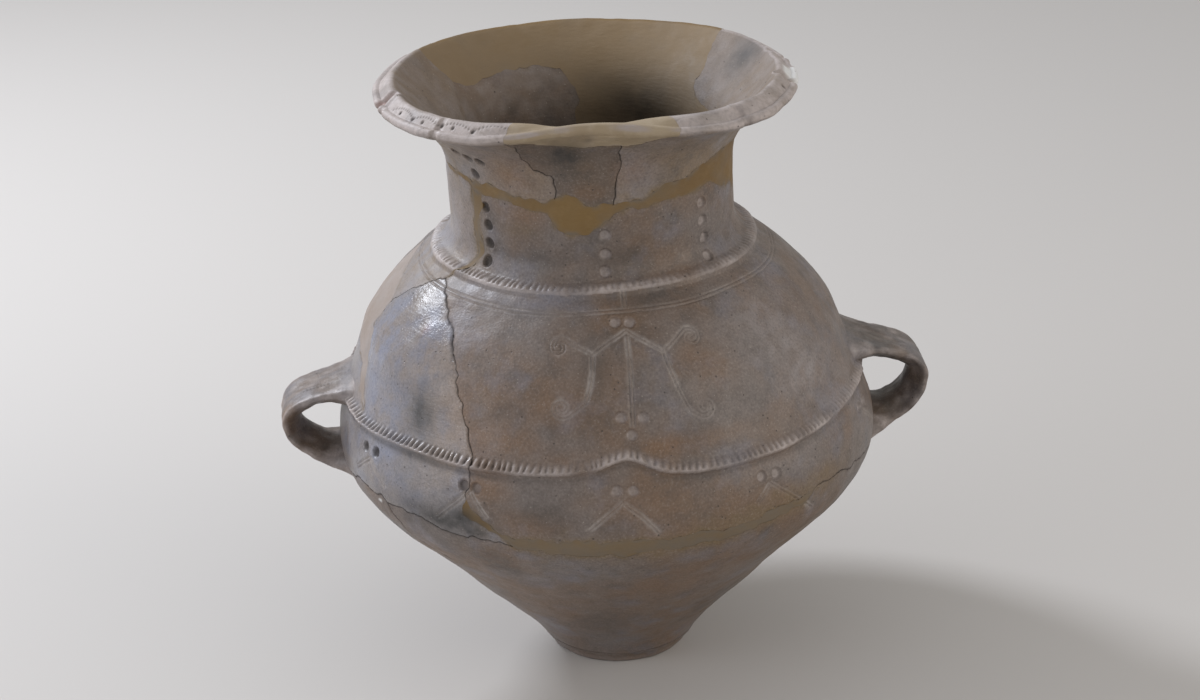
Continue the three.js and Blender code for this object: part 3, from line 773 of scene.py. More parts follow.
# %% Falling apart
cut = whole_wall.modifiers.new("breaks", "BOOLEAN")
cut.operation = "DIFFERENCE"
cut.solver = "MANIFOLD"
cut.operand_type = "COLLECTION"
cut.collection = breaks
depsgraph = bpy.context.evaluated_depsgraph_get()
broken_mesh = bpy.data.meshes.new_from_object(whole_wall.evaluated_get(depsgraph))
broken = bpy.data.objects.new("broken_wall", broken_mesh)
bpy.context.scene.collection.objects.link(broken)
bpy.data.objects.remove(whole_wall)
for piece in list(breaks.objects):
    bpy.data.objects.remove(piece)
bpy.data.collections.remove(breaks)
for other in bpy.context.selected_objects:
    other.select_set(False)
broken.select_set(True)
bpy.context.view_layer.objects.active = broken
bpy.ops.mesh.separate(type="LOOSE")
parts = [other for other in bpy.context.scene.objects if other.name.startswith("broken_wall")]
print("loose parts:", sorted((len(part.data.vertices) for part in parts), reverse=True)[:30])

# %% [markdown]
# ## Which part is which
# Each sherd and each fill is known by one place that lies in it. The part with a vertex nearest to
# that place is the piece, and the crumbs between the lines are thrown away.

# %% Naming the pieces
wall_pieces = {
    "lower_body": ((0, 0.4), "clay_grey_brown"),
    "seam_fill_front": ((0, 0.765), "plaster_ochre"),
    "belly_sherd_front": ((10, 1.3), "clay_grey_brown"),
    "belly_sherd_left": ((-60, 1.3), "clay_blue_grey"),
    "belly_sherd_rear_left": ((220, 1.3), "clay_grey_brown"),
    "belly_sherd_rear_right": ((150, 1.3), "clay_grey_brown"),
    "shoulder_sherd_left": ((-85, 2.2), "clay_pale"),
    "shoulder_fill_left": ((-95, 1.6), "plaster_ochre"),
    "neck_strip_fill": ((-56, 2.55), "plaster_ochre"),
    "neck_band_fill": ((-8, 2.85), "plaster_ochre"),
    "neck_sherd_rear": ((210, 2.8), "clay_grey_brown"),
    "rear_fill": ((150, 3.2), "plaster_ochre"),
    "rim_sherd_left": ((-70, 3.5), "clay_pale"),
    "rim_sherd_front": ((-8, 3.4), "clay_dark"),
    "rim_sherd_right": ((60, 3.6), "clay_pale"),
    "lip_fill_front": ((0, 3.86), "plaster_pale"),
}


def positions(mesh):
    flat = np.empty(len(mesh.vertices) * 3)
    mesh.vertices.foreach_get("co", flat)
    return flat.reshape(-1, 3)


def set_positions(mesh, points):
    mesh.vertices.foreach_set("co", np.ascontiguousarray(points).ravel())
    mesh.update()


pieces = {}
clouds = [(part, positions(part.data)) for part in parts]
for name, ((angle, level), slot) in wall_pieces.items():
    spot = on_wall(np.array([float(angle)]), height_of(np.array([level])))[0]
    part = min(clouds, key=lambda entry: np.linalg.norm(entry[1] - spot, axis=1).min())[0]
    pieces[name] = part
crumbs = [part for part in parts if part not in pieces.values()]
print("pieces:", len(set(pieces.values())), "crumbs:",
      [len(crumb.data.vertices) for crumb in crumbs])
for crumb in crumbs:
    bpy.data.objects.remove(crumb)

# %% [markdown]
# ## The surface of the clay
# Cordons, notches, lines, dimples, worn edges and chips are all heights above or below the plain
# wall. Each vertex is moved along the outline's normal by the sum of them, so the ornament is real
# relief that catches the light. First, everything that the later steps ask for is measured once at
# each vertex: where it lies on the pot, how deep it is in the wall, and how uneven the hand was.

# %% What is known at each vertex
face_depth = 4.0
outer_bias = 0.6


def waves_at(points):
    """The unevenness at some points, from the broadest waves to the finest."""
    return [wave(points) for wave in (broad_waves, palm_waves, finger_waves, grain_waves)]


def measured(points):
    """The place of each vertex on the pot, and the waves there."""
    angle, height, depth = where(points)
    level = np.clip(height, foot_top[1], lip_underside[1])
    broad, palm, finger, grain = waves_at(points)
    return SimpleNamespace(
        points=points, angle=angle, height=height, depth=depth, level=level,
        radius=np.hypot(points[:, 0], points[:, 1]), face=on_wall(angle, level),
        outside=1 - smooth_step(0.5, 6.5, depth), inside=smooth_step(2.5, 8.0, depth),
        broad=broad, palm=palm, finger=finger, grain=grain)


def hand_lift(broad, palm, finger):
    """How far the hand left the outer face above or below the outline, in millimetres."""
    return 0.45 * broad + 0.2 * palm + 0.06 * finger - outer_bias


def hump(away, width, power=2):
    """1 where nothing is away, falling softly to 0 past the width; a higher power is flatter."""
    return np.exp(-(away / width) ** power)


def away_on_face(tree, at):
    """The distance to the nearest point in the tree, for vertices near the outer face."""
    away = np.full(len(at.points), far_away)
    near = np.flatnonzero(at.depth < face_depth)
    away[near] = away_from(tree, at.face[near], far_away)
    return away


print("marks of the outer face reach into the wall by mm:", face_depth)

# %% [markdown]
# ## The cordons
# A cordon is a thin roll of clay, laid on while the wall was soft and smeared down below. A stick
# pressed notches into its upper half, side by side all the way round. They are crisp at the left
# and worn shallow elsewhere. Where a cordon crosses plaster, the restorer modelled it plain.

# %% Cordons and their notches
belly_notches = 240
belly_proud = 3.9
belly_half_width = 5.2
neck_notches = 154
neck_proud = 2.5
neck_half_width = 3.9
neck_notch_share = 0.5


def notch_share(angle, offset, crest_height, count, seed_wave):
    """How much of a notch lies at a place on the upper half of a cordon."""
    lean = 0.03 - 0.07 * np.sin(np.radians(angle))
    turn = (angle - lean * crest_height) / 360 * count
    wander = 0.16 * seed_wave
    notch = (0.5 + 0.5 * np.cos(2 * math.pi * (turn + wander))) ** 1.3
    return notch * smooth_step(-0.3, 0.1, offset) * (1 - smooth_step(0.95, 1.3, offset))


def notch_strength(angle):
    """The notches are crisp at the left and worn shallow at the front, right and back."""
    return 0.58 + 0.42 * smooth_step(68, 50, apart(angle, -82))


def cordon_lift(angle, height, crest, proud, half_width, count, noise, worn):
    offset = (height - crest) / half_width
    ridge = np.where(offset < 0, 1 - smooth_step(0.15, 1.0, -offset),
                     1 - smooth_step(0.0, 1.25, offset))
    notch = notch_share(angle, offset, height - crest, count, noise) * worn * notch_strength(angle)
    return proud * ridge * (1 - 0.68 * notch) - 0.3 * notch, ridge, notch


def cordon_relief(at, clay):
    """The lift of both cordons; where their ridges and notches lie is kept for the colours."""
    uneven = at.palm + 0.5 * at.finger
    belly_lift, at.belly_ridge, at.belly_notch = cordon_lift(
        at.angle, at.height, belly_crest(at.angle), belly_proud, belly_half_width, belly_notches,
        uneven, clay)
    neck_lift, at.neck_ridge, at.neck_notch = cordon_lift(
        at.angle, at.height, neck_crest(at.angle), neck_proud, neck_half_width, neck_notches,
        uneven, neck_notch_share * clay)
    return belly_lift * (0.94 + 0.06 * at.finger) + neck_lift


print("notches on the belly and on the neck:", belly_notches, neck_notches)

# %% [markdown]
# ## Cut lines and pressed dimples
# A point that cuts leather-hard clay pushes a fine burr up beside the line, and a fingertip leaves
# a soft rim round its dimple. Both come from the distance of a vertex to the drawn lines and
# spots, so one formula makes a whole figure. Plaster has neither.

# %% Lines, the shoulder groove and dimples
line_half_width = 0.8
line_depth = 0.75
dimple_floor = 2.6
dimple_edge = 4.8
dimple_depth = 2.1
groove_offset = 1.5
groove_half_width = 0.65
groove_depth = 0.6


def cut_relief(at, clay):
    """The lift of groove, lines and dimples; where they lie is kept for the colours."""
    step = np.abs(at.height - shoulder_line(at.angle)) / climb_at(at.level)
    at.groove = hump(step - groove_offset, groove_half_width) * clay
    line_away = away_on_face(incised_tree, at)
    at.line = hump(line_away, line_half_width) * clay
    at.between = hump(line_away, 1.35, 4) * clay
    burr = 0.15 * hump(line_away - 1.5, 0.5) * clay
    dimple_away = away_on_face(dimple_tree, at)
    at.dimple = (1 - smooth_step(dimple_floor, dimple_edge, dimple_away)) * clay
    soft_rim = 0.3 * hump(dimple_away - 5.2, 0.8) * clay
    return (burr + soft_rim - (groove_depth + 0.12 * at.finger) * at.groove
            - (line_depth + 0.15 * at.finger) * at.line - dimple_depth * at.dimple)


print("depth of lines, dimples and groove in mm:", line_depth, dimple_depth, groove_depth)

# %% [markdown]
# ## Worn breaks
# Fired clay loses grains along a break, so the crack is wider at the face than inside the wall, and
# a chip is gone here and there. A few places gape, and they are listed as soft spots: an angle, a
# height, a half width in degrees, a half height in millimetres and a strength.

# %% Wear along the breaks
wide_cracks = [(-57, 316, 7, 9, 0.7), (-50, 292, 6, 26, 1.0), (-22, 408, 5, 9, 0.4),
               (6, 404, 3, 7, 0.3), (-63, 173, 6, 6, 0.4), (-33, 236, 2, 6, 0.4)]


def spotted(spots, angle, height, broken):
    """How strong a list of soft spots is at each vertex, with edges broken up by waves."""
    value = np.zeros_like(angle)
    for middle, level, across, upward, strength in spots:
        away = (apart(angle, middle) / across) ** 2 + ((height - level) / upward) ** 2
        value = np.maximum(value, strength * np.exp(-away * np.maximum(0.25, 0.8 + 0.25 * broken)))
    return np.clip(value, 0, 1)


def broken_edge(at, clay):
    """How much clay is worn away along the breaks, in millimetres."""
    at.crack_away = away_from(crack_tree, at.points, far_away)
    at.edge_away = away_from(edge_tree, at.points, far_away)
    at.wide = spotted(wide_cracks, at.angle, at.height, at.finger)
    chip = smooth_step(0.5, 1.6, at.finger + 0.6 * at.grain)
    wear = (0.15 + 0.6 * at.wide) * hump(at.crack_away, 0.5 + 0.8 * at.wide)
    wear = wear + (0.45 + 0.7 * at.wide) * chip * hump(at.crack_away, 1.0 + 0.8 * at.wide)
    return wear + 0.35 * chip * clay * hump(at.edge_away, 0.8)


print("gaping places:", len(wide_cracks))

# %% [markdown]
# ## The lip
# The potter thickened the lip on its inner side, so that its upper face climbs inwards as a broad
# sloping band to a crest, which is lower at the back. Its outer edge is worn, with chips missing.
# Swags of fine pricks hang from pits on its left part. The plaster at the front has no such band.

# %% Chips, band and swags of the lip
rim_chips = [(-79.0, 1.7, 5.0), (-74.5, 1.2, 1.8), (-48.0, 1.1, 2.2), (43.8, 1.3, 3.4),
             (78.5, 1.5, 5.2), (95.0, 2.6, 1.6), (101.0, 1.4, 2.2), (-131.0, 1.4, 1.6),
             (168.0, 1.9, 1.5)]
lip_crest_radius = 140.0
lip_band_edge = 149.5
lip_inner_end = 30.0
lip_crest_rise = 11.2
lip_back_loss = 4.2
soft_crest = 0.14


def rim_drop(angle, uneven):
    """How far the top of the lip is worn or chipped down, in millimetres."""
    drop = 0.8 + 0.3 * uneven * (np.sin(np.radians(7 * angle + 30))
                                 + np.sin(np.radians(17 * angle + 100)))
    for middle, width, deep in rim_chips:
        drop = drop + uneven * deep * hump(apart(angle, middle), width, 4)
    return drop


def lip_rise(angle, radius):
    """How far the upper face climbs above the plain flare on its way in to the crest and down."""
    away = apart(angle, -2.0)
    high = (lip_crest_rise - lip_back_loss * smooth_step(95, 170, away)) * smooth_step(7, 30, away)
    band = np.clip((lip_band_edge - radius) / (lip_band_edge - lip_crest_radius), 0, 2)
    inner = np.clip(1 - (lip_crest_radius - radius) / lip_inner_end, 0, 2) ** 1.5
    share = -soft_crest * np.log(np.exp(-band / soft_crest) + np.exp(-inner / soft_crest))
    return high * np.clip(share / (1 - soft_crest * math.log(2)), 0, 1)


def lip_relief(at, clay):
    """The rise of the lip's upper face, with the pricks, the pits and a scratched wave in it."""
    at.garland = np.zeros(len(at.points))
    at.pale_wave = np.zeros(len(at.points))
    if clay:
        on_top = np.flatnonzero((at.height > 430) & (at.depth > 1.0))
        top = at.points[on_top]
        at.garland[on_top] = 0.6 * hump(away_from(garland_tree, top, far_away), 0.75)
        at.garland[on_top] += hump(away_from(pit_tree, top, far_away), 1.3, 4)
        at.pale_wave[on_top] = hump(away_from(wave_tree, top, far_away), 0.8)
    rise = lip_rise(at.angle, at.radius) * smooth_step(1.5, 6.0, at.depth)
    rise = rise * smooth_step(400, 425, at.height)
    return (rise * (0.96 + 0.012 * at.finger + 0.01 * at.palm)
            - 0.9 * at.garland - 0.6 * at.pale_wave)


print("chips in the rim:", len(rim_chips), "highest rise in mm:", lip_crest_rise)

# %% [markdown]
# ## Marks of the fire, and painted light
# The fire and the years left their own marks: dark clouds where embers lay against the pot, warm
# orange patches where air reached it, and white fresh chips in the rim. Burnished places, most of
# them at the left, shine more, and their colour gets a painted blue-grey sheen that stands for a
# reflection of the window. Pale clouds make places paler. Inside, the pot is painted darker towards
# the depth and at the back as painted shade, and paler near the mouth as painted light. Each is a
# soft spot, broken up by the same waves as the surface. The strength of each kind is kept at the
# vertices for the finishes to read, which keeps a cloud whole across a break.

# %% Clouds, patches and chips
dark_clouds = [(-11, 430, 6.5, 9, 1.0), (-49, 250, 4.2, 13, 0.95), (-35.5, 188, 3.6, 7, 1.0),
               (-33, 178, 3.0, 5, 0.9), (-17, 198, 5.0, 9, 0.5), (-49, 222, 6.0, 4, 0.5),
               (-5, 292, 3.5, 14, 0.45), (15, 246, 3.0, 8, 0.4), (-8, 60, 9.0, 18, 0.4),
               (37, 70, 9.0, 14, 0.35), (-30, 145, 4.0, 16, 0.4), (-66, 316, 5, 7, 0.35),
               (70, 150, 12, 24, 0.4), (120, 210, 14, 40, 0.6), (160, 290, 16, 26, 0.5),
               (-140, 240, 15, 34, 0.5), (-160, 110, 18, 30, 0.45), (100, 80, 14, 22, 0.4),
               (84, 240, 6, 12, 0.35), (2, 312, 5, 6, 0.35), (14, 328, 10, 4, 0.5),
               (-40, 182, 8, 8, 1.0), (3, 352, 9, 12, 0.4), (-24, 352, 6, 9, 0.3)]
warm_clouds = [(8, 176, 13, 11, 0.6), (1, 202, 8, 11, 0.35), (14, 243, 12, 6, 0.75),
               (-1, 285, 3.5, 12, 0.45), (24, 288, 6, 15, 0.5), (-27, 245, 10, 12, 0.6),
               (-29, 214, 5, 7, 0.5), (-12, 235, 8, 8, 0.45), (-18, 190, 6, 9, 0.5),
               (20, 120, 16, 26, 0.35), (32, 190, 10, 9, 0.4), (60, 300, 10, 16, 0.3),
               (-97, 180, 6, 20, 0.9), (130, 150, 18, 26, 0.4), (-130, 180, 18, 26, 0.4),
               (170, 220, 16, 30, 0.35), (-20, 90, 20, 30, 0.3), (50, 110, 10, 20, 0.35),
               (-34, 412, 9, 12, 0.6), (12, 416, 8, 10, 0.45), (-30, 384, 10, 10, 0.5),
               (-4, 402, 7, 6, 0.5), (-16, 268, 9, 14, 0.4), (-38, 262, 4, 16, 0.35)]
# Burnished places that shine more; their colour also gets a painted blue-grey sheen that stands for
# a reflection of the window.
gloss_and_painted_sheen_clouds = [(-72, 285, 17, 30, 0.9), (-62, 240, 20, 26, 0.75), (-66, 205, 17, 17, 0.75),
               (-90, 330, 16, 40, 0.8), (-55, 300, 8, 14, 0.8), (60, 262, 14, 16, 0.35),
               (-3, 32, 12, 14, 0.5), (-75, 120, 20, 40, 0.35), (-60, 400, 14, 14, 0.4),
               (-22, 329, 11, 5, 0.85), (-45, 328, 14, 5, 0.6)]
# Paler places on the clay, many of them on the left and right flanks.
pale_clouds = [(-70, 235, 18, 14, 0.5), (-84, 210, 8, 26, 0.5), (66, 232, 14, 26, 0.4),
               (-64, 60, 18, 34, 0.4), (63, 100, 16, 30, 0.4), (-60, 446, 18, 9, 0.5),
               (48, 440, 24, 12, 0.4), (75, 190, 10, 20, 0.35), (44, 300, 11, 13, 0.6),
               (50, 262, 11, 18, 0.7), (46, 288, 9, 14, 0.6), (36, 213, 12, 8, 0.3)]
inner_clouds = [(110, 437, 6, 8, 0.75), (-166, 392, 9, 14, 0.5), (-148, 402, 5, 8, 0.45)]
fresh_spots = [(84.5, 448, 4.4, 9, 1.0), (89.0, 450, 3.0, 6, 1.0), (-60, 174, 0.7, 1.7, 0.8)]
rust_spots = [(-79.0, 449, 1.7, 4, 1.0), (-56, 300, 1.2, 3, 0.3)]
smear_clouds = [(-12, 172, 15, 7.5, 1.0), (8, 171, 17, 8.5, 1.0), (27, 178, 15, 9, 1.0),
                (42, 186, 10, 9, 1.0), (-56, 365, 4, 30, 0.6), (-33, 372, 8, 6, 0.5),
                (22, 398, 10, 5, 0.4), (-66, 418, 6, 12, 0.5)]


def fire_marks(angle, height, depth, palm, finger):
    """The strength of each mark of fire and age, and of painted sheen, light and shade, for
    vertices at some angles and heights.
    """
    broken = 0.6 * palm + 0.35 * finger
    outer = 1 - smooth_step(1.0, 4.0, depth)
    # Inside the pot: painted shade that darkens it towards the depth and at the back, with a few
    # real stains, and painted light that makes it paler near the mouth.
    inner_shade_and_stains = 0.9 * smooth_step(425, 335, height)
    rear_inner_shade = smooth_step(440, 395, height) * hump(apart(angle, 150), 38)
    inner_shade_and_stains = np.maximum(np.maximum(inner_shade_and_stains, rear_inner_shade),
                           spotted(inner_clouds, angle, height, broken))
    inner_painted_light = np.clip(0.45 + 0.3 * finger + 0.2 * palm, 0, 1) * smooth_step(360, 420, height)
    return {
        "soot": spotted(dark_clouds, angle, height, broken) * outer + inner_shade_and_stains * (1 - outer),
        "warmth": spotted(warm_clouds, angle, height, broken) * outer,
        "sheen": spotted(gloss_and_painted_sheen_clouds, angle, height, broken) * outer,
        "bloom": spotted(pale_clouds, angle, height, broken) * outer + inner_painted_light * (1 - outer),
        "fresh": smooth_step(0.35, 0.55, spotted(fresh_spots, angle, height, 0.8 * broken)),
        "rust": spotted(rust_spots, angle, height, 0.5 * broken),
        "inside": smooth_step(4.0, 7.0, depth),
    }


print("dark, warm, blue and pale clouds:", len(dark_clouds), len(warm_clouds), len(gloss_and_painted_sheen_clouds),
      len(pale_clouds))

# %% [markdown]
# ## Marks of use, and painted shade
# Pale residue sits in the cut lines, dirt in the cracks, and plaster is smeared a little past its
# edges. The notch floors are painted darker, and a strip under the belly cordon and the dimples at
# the left are painted dark as shade. High places, such as the band of the lip, are rubbed pale, and
# the ticks between notches are painted pale as wear and as a painted highlight. All of them follow
# from the relief that the steps above kept.

# %% Residue, dirt, painted shade, smears and rubbed places
def pale_dimple(angle):
    """Dimples at the front and right are rubbed pale, and those at the left are painted dark as
    shade.
    """
    return smooth_step(-40, -26, angle)


def add_use_marks(at, shows, clay):
    # A strip just under the belly cordon, painted dark as the cordon's shadow.
    shadow_under_belly = hump(at.height - belly_crest(at.angle) + 6.2, 1.7)
    front = 0.6 + 0.4 * smooth_step(-45, -25, at.angle)
    cut_residue = front * (0.65 * at.line + 0.3 * at.between) * (0.75 + 0.35 * at.palm)
    groove_residue = 0.6 * at.groove * (0.8 + 0.3 * at.palm)
    shows["residue"] = (np.clip(cut_residue + groove_residue, 0, 1) * at.outside
                        + 0.9 * at.pale_wave)

    crack_dirt = hump(at.crack_away, 0.34 + 0.08 * at.finger + 0.7 * at.wide)
    edge_dirt = 0.15 * smooth_step(0.2, 1.6, at.palm) * hump(at.edge_away, 0.5)
    # Notch floors are painted darker and the strip under the belly cordon is painted shadow, both
    # strongest at the left; the dimples at the left are painted shade.
    dark_notches_and_cordon_shadow = 0.38 * at.belly_notch + 0.2 * at.neck_notch + 0.4 * shadow_under_belly
    dimple_painted_shade = 0.85 * (1 - pale_dimple(at.angle)) * at.dimple
    shows["dirt"] = np.clip(
        crack_dirt * (0.8 + 0.1 * at.palm) + edge_dirt
        + (dark_notches_and_cordon_shadow * notch_strength(at.angle) + dimple_painted_shade) * at.outside + at.garland, 0, 1)
    shows["smear"] = np.clip(
        hump(at.edge_away, 1.7 + 0.6 * at.palm) * (0.55 + 0.35 * at.finger)
        + spotted(smear_clouds, at.angle, at.height, 0.8 * at.palm + 0.6 * at.finger), 0, 1)

    lip_band = smooth_step(lip_crest_radius - 2.5, lip_crest_radius, at.radius)
    lip_band = lip_band * smooth_step(1.0, 3.0, at.depth) * smooth_step(430, 436, at.height)
    # The ticks between notches are painted pale, as wear and as a painted highlight on their
    # crests.
    belly_tick_worn_and_highlit = at.belly_ridge * (at.height > belly_crest(at.angle) - 3) * (1 - at.belly_notch)
    neck_tick_worn_and_highlit = at.neck_ridge * (1 - at.neck_notch) * (at.height > neck_crest(at.angle) - 2)
    rim = smooth_step(442.0, 447.0, at.height)
    shows["worn"] = np.clip(
        (belly_tick_worn_and_highlit + neck_tick_worn_and_highlit) * clay * (0.6 + 0.25 * at.palm)
        + 0.5 * rim * (0.6 + 0.4 * at.palm) + lip_band * (0.8 + 0.2 * at.palm)
        + 0.6 * pale_dimple(at.angle) * at.dimple * at.outside, 0, 1)
    if not clay:
        along_crest = (smooth_step(442, 446, at.height) * (1 - smooth_step(5.0, 8.0, at.depth))
                       * smooth_step(2.0, 4.5, at.depth))
        shows["bloom"] = np.clip(along_crest * (0.8 + 0.5 * at.palm)
                                 * smooth_step(3, 12, np.abs(at.angle + 2)), 0, 1)
    shows["inside"] *= 1 - lip_band
    shows["fresh"] *= smooth_step(143.0, 145.0, at.radius)


# %% [markdown]
# ## All heights together
# The lifts are summed at the outer face and fade out inside the wall, whose inner face has waves of
# its own. The worn top of the lip is moved down along the wall, and plaster lies a little lower
# than clay, because it was scraped level and shrank.

# %% All heights together
plaster_drop = 0.06
inner_shift = 300.0
inner_bias = 0.2


def surface(points, plaster):
    """New places for the vertices of one piece, and what shows at each of them."""
    clay = 0.0 if plaster else 1.0
    at = measured(points)
    wear = broken_edge(at, clay)
    lift = (hand_lift(at.broad, at.palm, at.finger) + cordon_relief(at, clay)
            + cut_relief(at, clay) - wear)
    if plaster:
        lift = lift - plaster_drop - 0.05 * at.palm
    inner_palm = (0.2 if plaster else 1.0) * 0.25 * palm_waves(points + inner_shift)
    inner_lift = 0.45 * broad_waves(points + inner_shift) + inner_palm - inner_bias
    out, run = (np.stack([np.interp(at.level, outline[:, 1], way[:, axis]) for axis in (0, 1)],
                         axis=1) for way in (outline_out, outline_run))
    outward = lift * at.outside - inner_lift * at.inside + wear * at.inside * 1.3
    drop = rim_drop(at.angle, 0.25 if plaster else 1.0) * smooth_step(434.0, 446.0, at.height)
    move = out * outward[:, None] - run * drop[:, None]
    move[:, 1] += lip_relief(at, clay)
    radius = at.radius + move[:, 0]
    turn = np.radians(at.angle)
    moved = np.stack([radius * np.sin(turn), -radius * np.cos(turn), points[:, 2] + move[:, 1]],
                     axis=1)
    shows = fire_marks(at.angle, at.height, at.depth, at.palm, at.finger)
    add_use_marks(at, shows, clay)
    return moved, shows


print("plaster lies lower than clay by mm:", plaster_drop)

# %% [markdown]
# ## The pressed lip and the lean
# The front of the lip sits further in and a little higher than a round lip would, and the whole pot
# leans slightly to the left. Both are put on last, as in the solid model, and then the sherds are
# turned to metres.

# %% Pressing, leaning and turning to metres
press_angle = -2.0
press_spread = 27.0
press_in = 28.0
press_up = 7.5
rim_top = 452.5
crest_limit = 459.3
crest_rounding = 0.8
weld_distance = 0.004
sharp_angle = math.radians(42)


def pressed(points):
    """The even pot with its lip pressed in and up at the front, its crest limited, and its lean."""
    radius = np.hypot(points[:, 0], points[:, 1])
    angle = np.degrees(np.arctan2(points[:, 0], -points[:, 1]))
    share = hump(apart(angle, press_angle), press_spread)
    above = np.clip(points[:, 2] - neck_top[1], 0, None)
    flare = (radius_at(points[:, 2]) - neck_top[0]) / (lip_underside[0] - neck_top[0]) * (above > 0)
    narrowed = 1 - press_in * share * flare / np.maximum(radius, 1.0)
    height = points[:, 2] + press_up * share * (above / (rim_top - neck_top[1])) ** 2
    room = (crest_limit - height) / crest_rounding
    height = crest_limit - crest_rounding * np.log1p(np.exp(room))
    leaning = points[:, 0] * narrowed + lean_per_height * height
    return np.stack([leaning, points[:, 1] * narrowed, height], axis=1)


def finish_mesh(piece, name):
    """Name a piece, smooth its faces except at sharp edges, and hand it to the frame."""
    piece.name = name
    piece.data.name = name
    piece.data.validate()
    piece.data.shade_smooth()
    piece.data.set_sharp_from_angle(angle=sharp_angle)
    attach(piece, "root")


def keep_marks(mesh, shows):
    """Keep the strength of each mark at the vertices, for the finishes to read."""
    for title, value in shows.items():
        layer = mesh.attributes.new(title, "FLOAT", "POINT")
        layer.data.foreach_set("value", np.ascontiguousarray(value, dtype=np.float32))


for node, piece in pieces.items():
    slot = wall_pieces[node][1]
    mesh = piece.data
    bm = bmesh.new()
    bm.from_mesh(mesh)
    bmesh.ops.remove_doubles(bm, verts=bm.verts[:], dist=weld_distance)
    bm.to_mesh(mesh)
    bm.free()
    kind = "plaster" if slot.startswith("plaster") else "clay"
    moved, shows = surface(positions(mesh), kind == "plaster")
    set_positions(mesh, pressed(moved) * metres)
    keep_marks(mesh, shows)
    finish_mesh(piece, f"{node}_{kind}")
    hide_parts(node)
    triangles = sum(len(face.vertices) - 2 for face in mesh.polygons)
    print(node, "vertices:", len(mesh.vertices), "triangles:", triangles)

# %% [markdown]
# ## The foot
# The pot was begun on a flat disc of clay. Its underside is flat, its edge was trimmed by hand and
# is worn round by standing, and the wall grows out of it without a step.

# %% Spinning the foot
foot_section = [(0.0, 0.0), (18.0, 0.0), (36.0, 0.0), (47.0, 0.0), (50.2, 0.15), (51.9, 0.7),
                (52.9, 1.7), (53.5, 3.0), (54.6, 4.8), (56.2, 7.0), (58.2, 9.2), (59.8, 10.8),
                (60.8, 12.0), (40.0, 12.0), (20.0, 12.0), (0.0, 12.0)]
bm = bmesh.new()
chain = [bm.verts.new((radius, 0.0, height)) for radius, height in foot_section]
edges = [bm.edges.new(pair) for pair in zip(chain, chain[1:])]
bmesh.ops.spin(bm, geom=chain + edges, cent=(0, 0, 0), axis=(0, 0, 1), angle=2 * math.pi, steps=180,
               use_merge=True)
bmesh.ops.remove_doubles(bm, verts=bm.verts[:], dist=1e-3)
bmesh.ops.recalc_face_normals(bm, faces=bm.faces[:])
foot_piece = to_object(bm, "foot_clay")
points = positions(foot_piece.data)
radius = np.hypot(points[:, 0], points[:, 1])
angle = np.degrees(np.arctan2(points[:, 0], -points[:, 1]))
height = points[:, 2].copy()
palm, finger = waves_at(points)[1:3]
rounding = (smooth_step(44.0, 53.0, radius) * smooth_step(0.0, 1.2, height)
            * (1 - smooth_step(8, 12, height)))
worn_in = (0.5 + 0.35 * palm + 0.2 * finger) * rounding
points[:, :2] *= (1 - worn_in / np.maximum(radius, 1.0))[:, None]
broad, palm, finger = waves_at(points)[:3]
wall_end = smooth_step(7.0, 12.0, height) * smooth_step(56, 60.8, radius)
wall_lift = hand_lift(broad, palm, finger) * wall_end
points[:, :2] *= (1 + wall_lift / np.maximum(radius, 1.0))[:, None]
palm, finger = waves_at(points)[1:3]
nothing = np.zeros(len(points))
shows = fire_marks(angle, height, nothing, palm, finger)
shows.update(residue=nothing, smear=nothing,
             # The underside and the lowest edge of the foot are darker.
             dirt=0.5 * (height < 0.4) + 0.2 * smooth_step(2.0, 0.5, height),
             worn=0.2 * rounding * smooth_step(8.0, 2.5, height))
set_positions(foot_piece.data, pressed(points) * metres)
keep_marks(foot_piece.data, shows)
finish_mesh(foot_piece, "foot_clay")
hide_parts("foot")
print("foot vertices:", len(points))

# %% [markdown]
# ## The strap handles
# Each handle is a strap of clay, pressed flat with the fingers, bent to a loop and luted to the
# wall. Its roots are wider and thicker, and wet clay was smeared from them over the wall. The left
# one has a row of small pricked dots along it.

# %% Bending the straps
strap_thickness = 9.0
strap_root_thickness = 15.0
strap_width = 50.0
strap_root_width = 62.0
strap_dish = 1.5
strap_swell = 6.2
strap_ring = 110
strap_stations = 190
strap_smear = 36
smear_width = 10.0
smear_depth = 7.0
strap_tuck = 22
strap_bury = 2.5


def strap_path(reach_out, upper, middle, lower):
    """The middle line of a strap, as radius and height, from its upper root to its lower one."""
    reach = belly[0] + reach_out - strap_thickness / 2
    bury = wall_thickness * 0.6
    upper_root = radius_at(upper) - bury
    lower_root = radius_at(lower) - bury
    rise = bezier((upper_root, upper),
                  (upper_root + reach_out * 0.6, upper - (upper - middle) * 0.06),
                  (reach, middle + (upper - middle) * 0.68), (reach, middle))
    fall = bezier((reach, middle), (reach, middle - (middle - lower) * 0.5),
                  (reach - reach_out * 0.46, lower + (middle - lower) * 0.14), (lower_root, lower))
    return respaced(np.concatenate([rise, fall[1:]]), 0.5)


print("strap width and thickness in mm:", strap_width, strap_thickness)


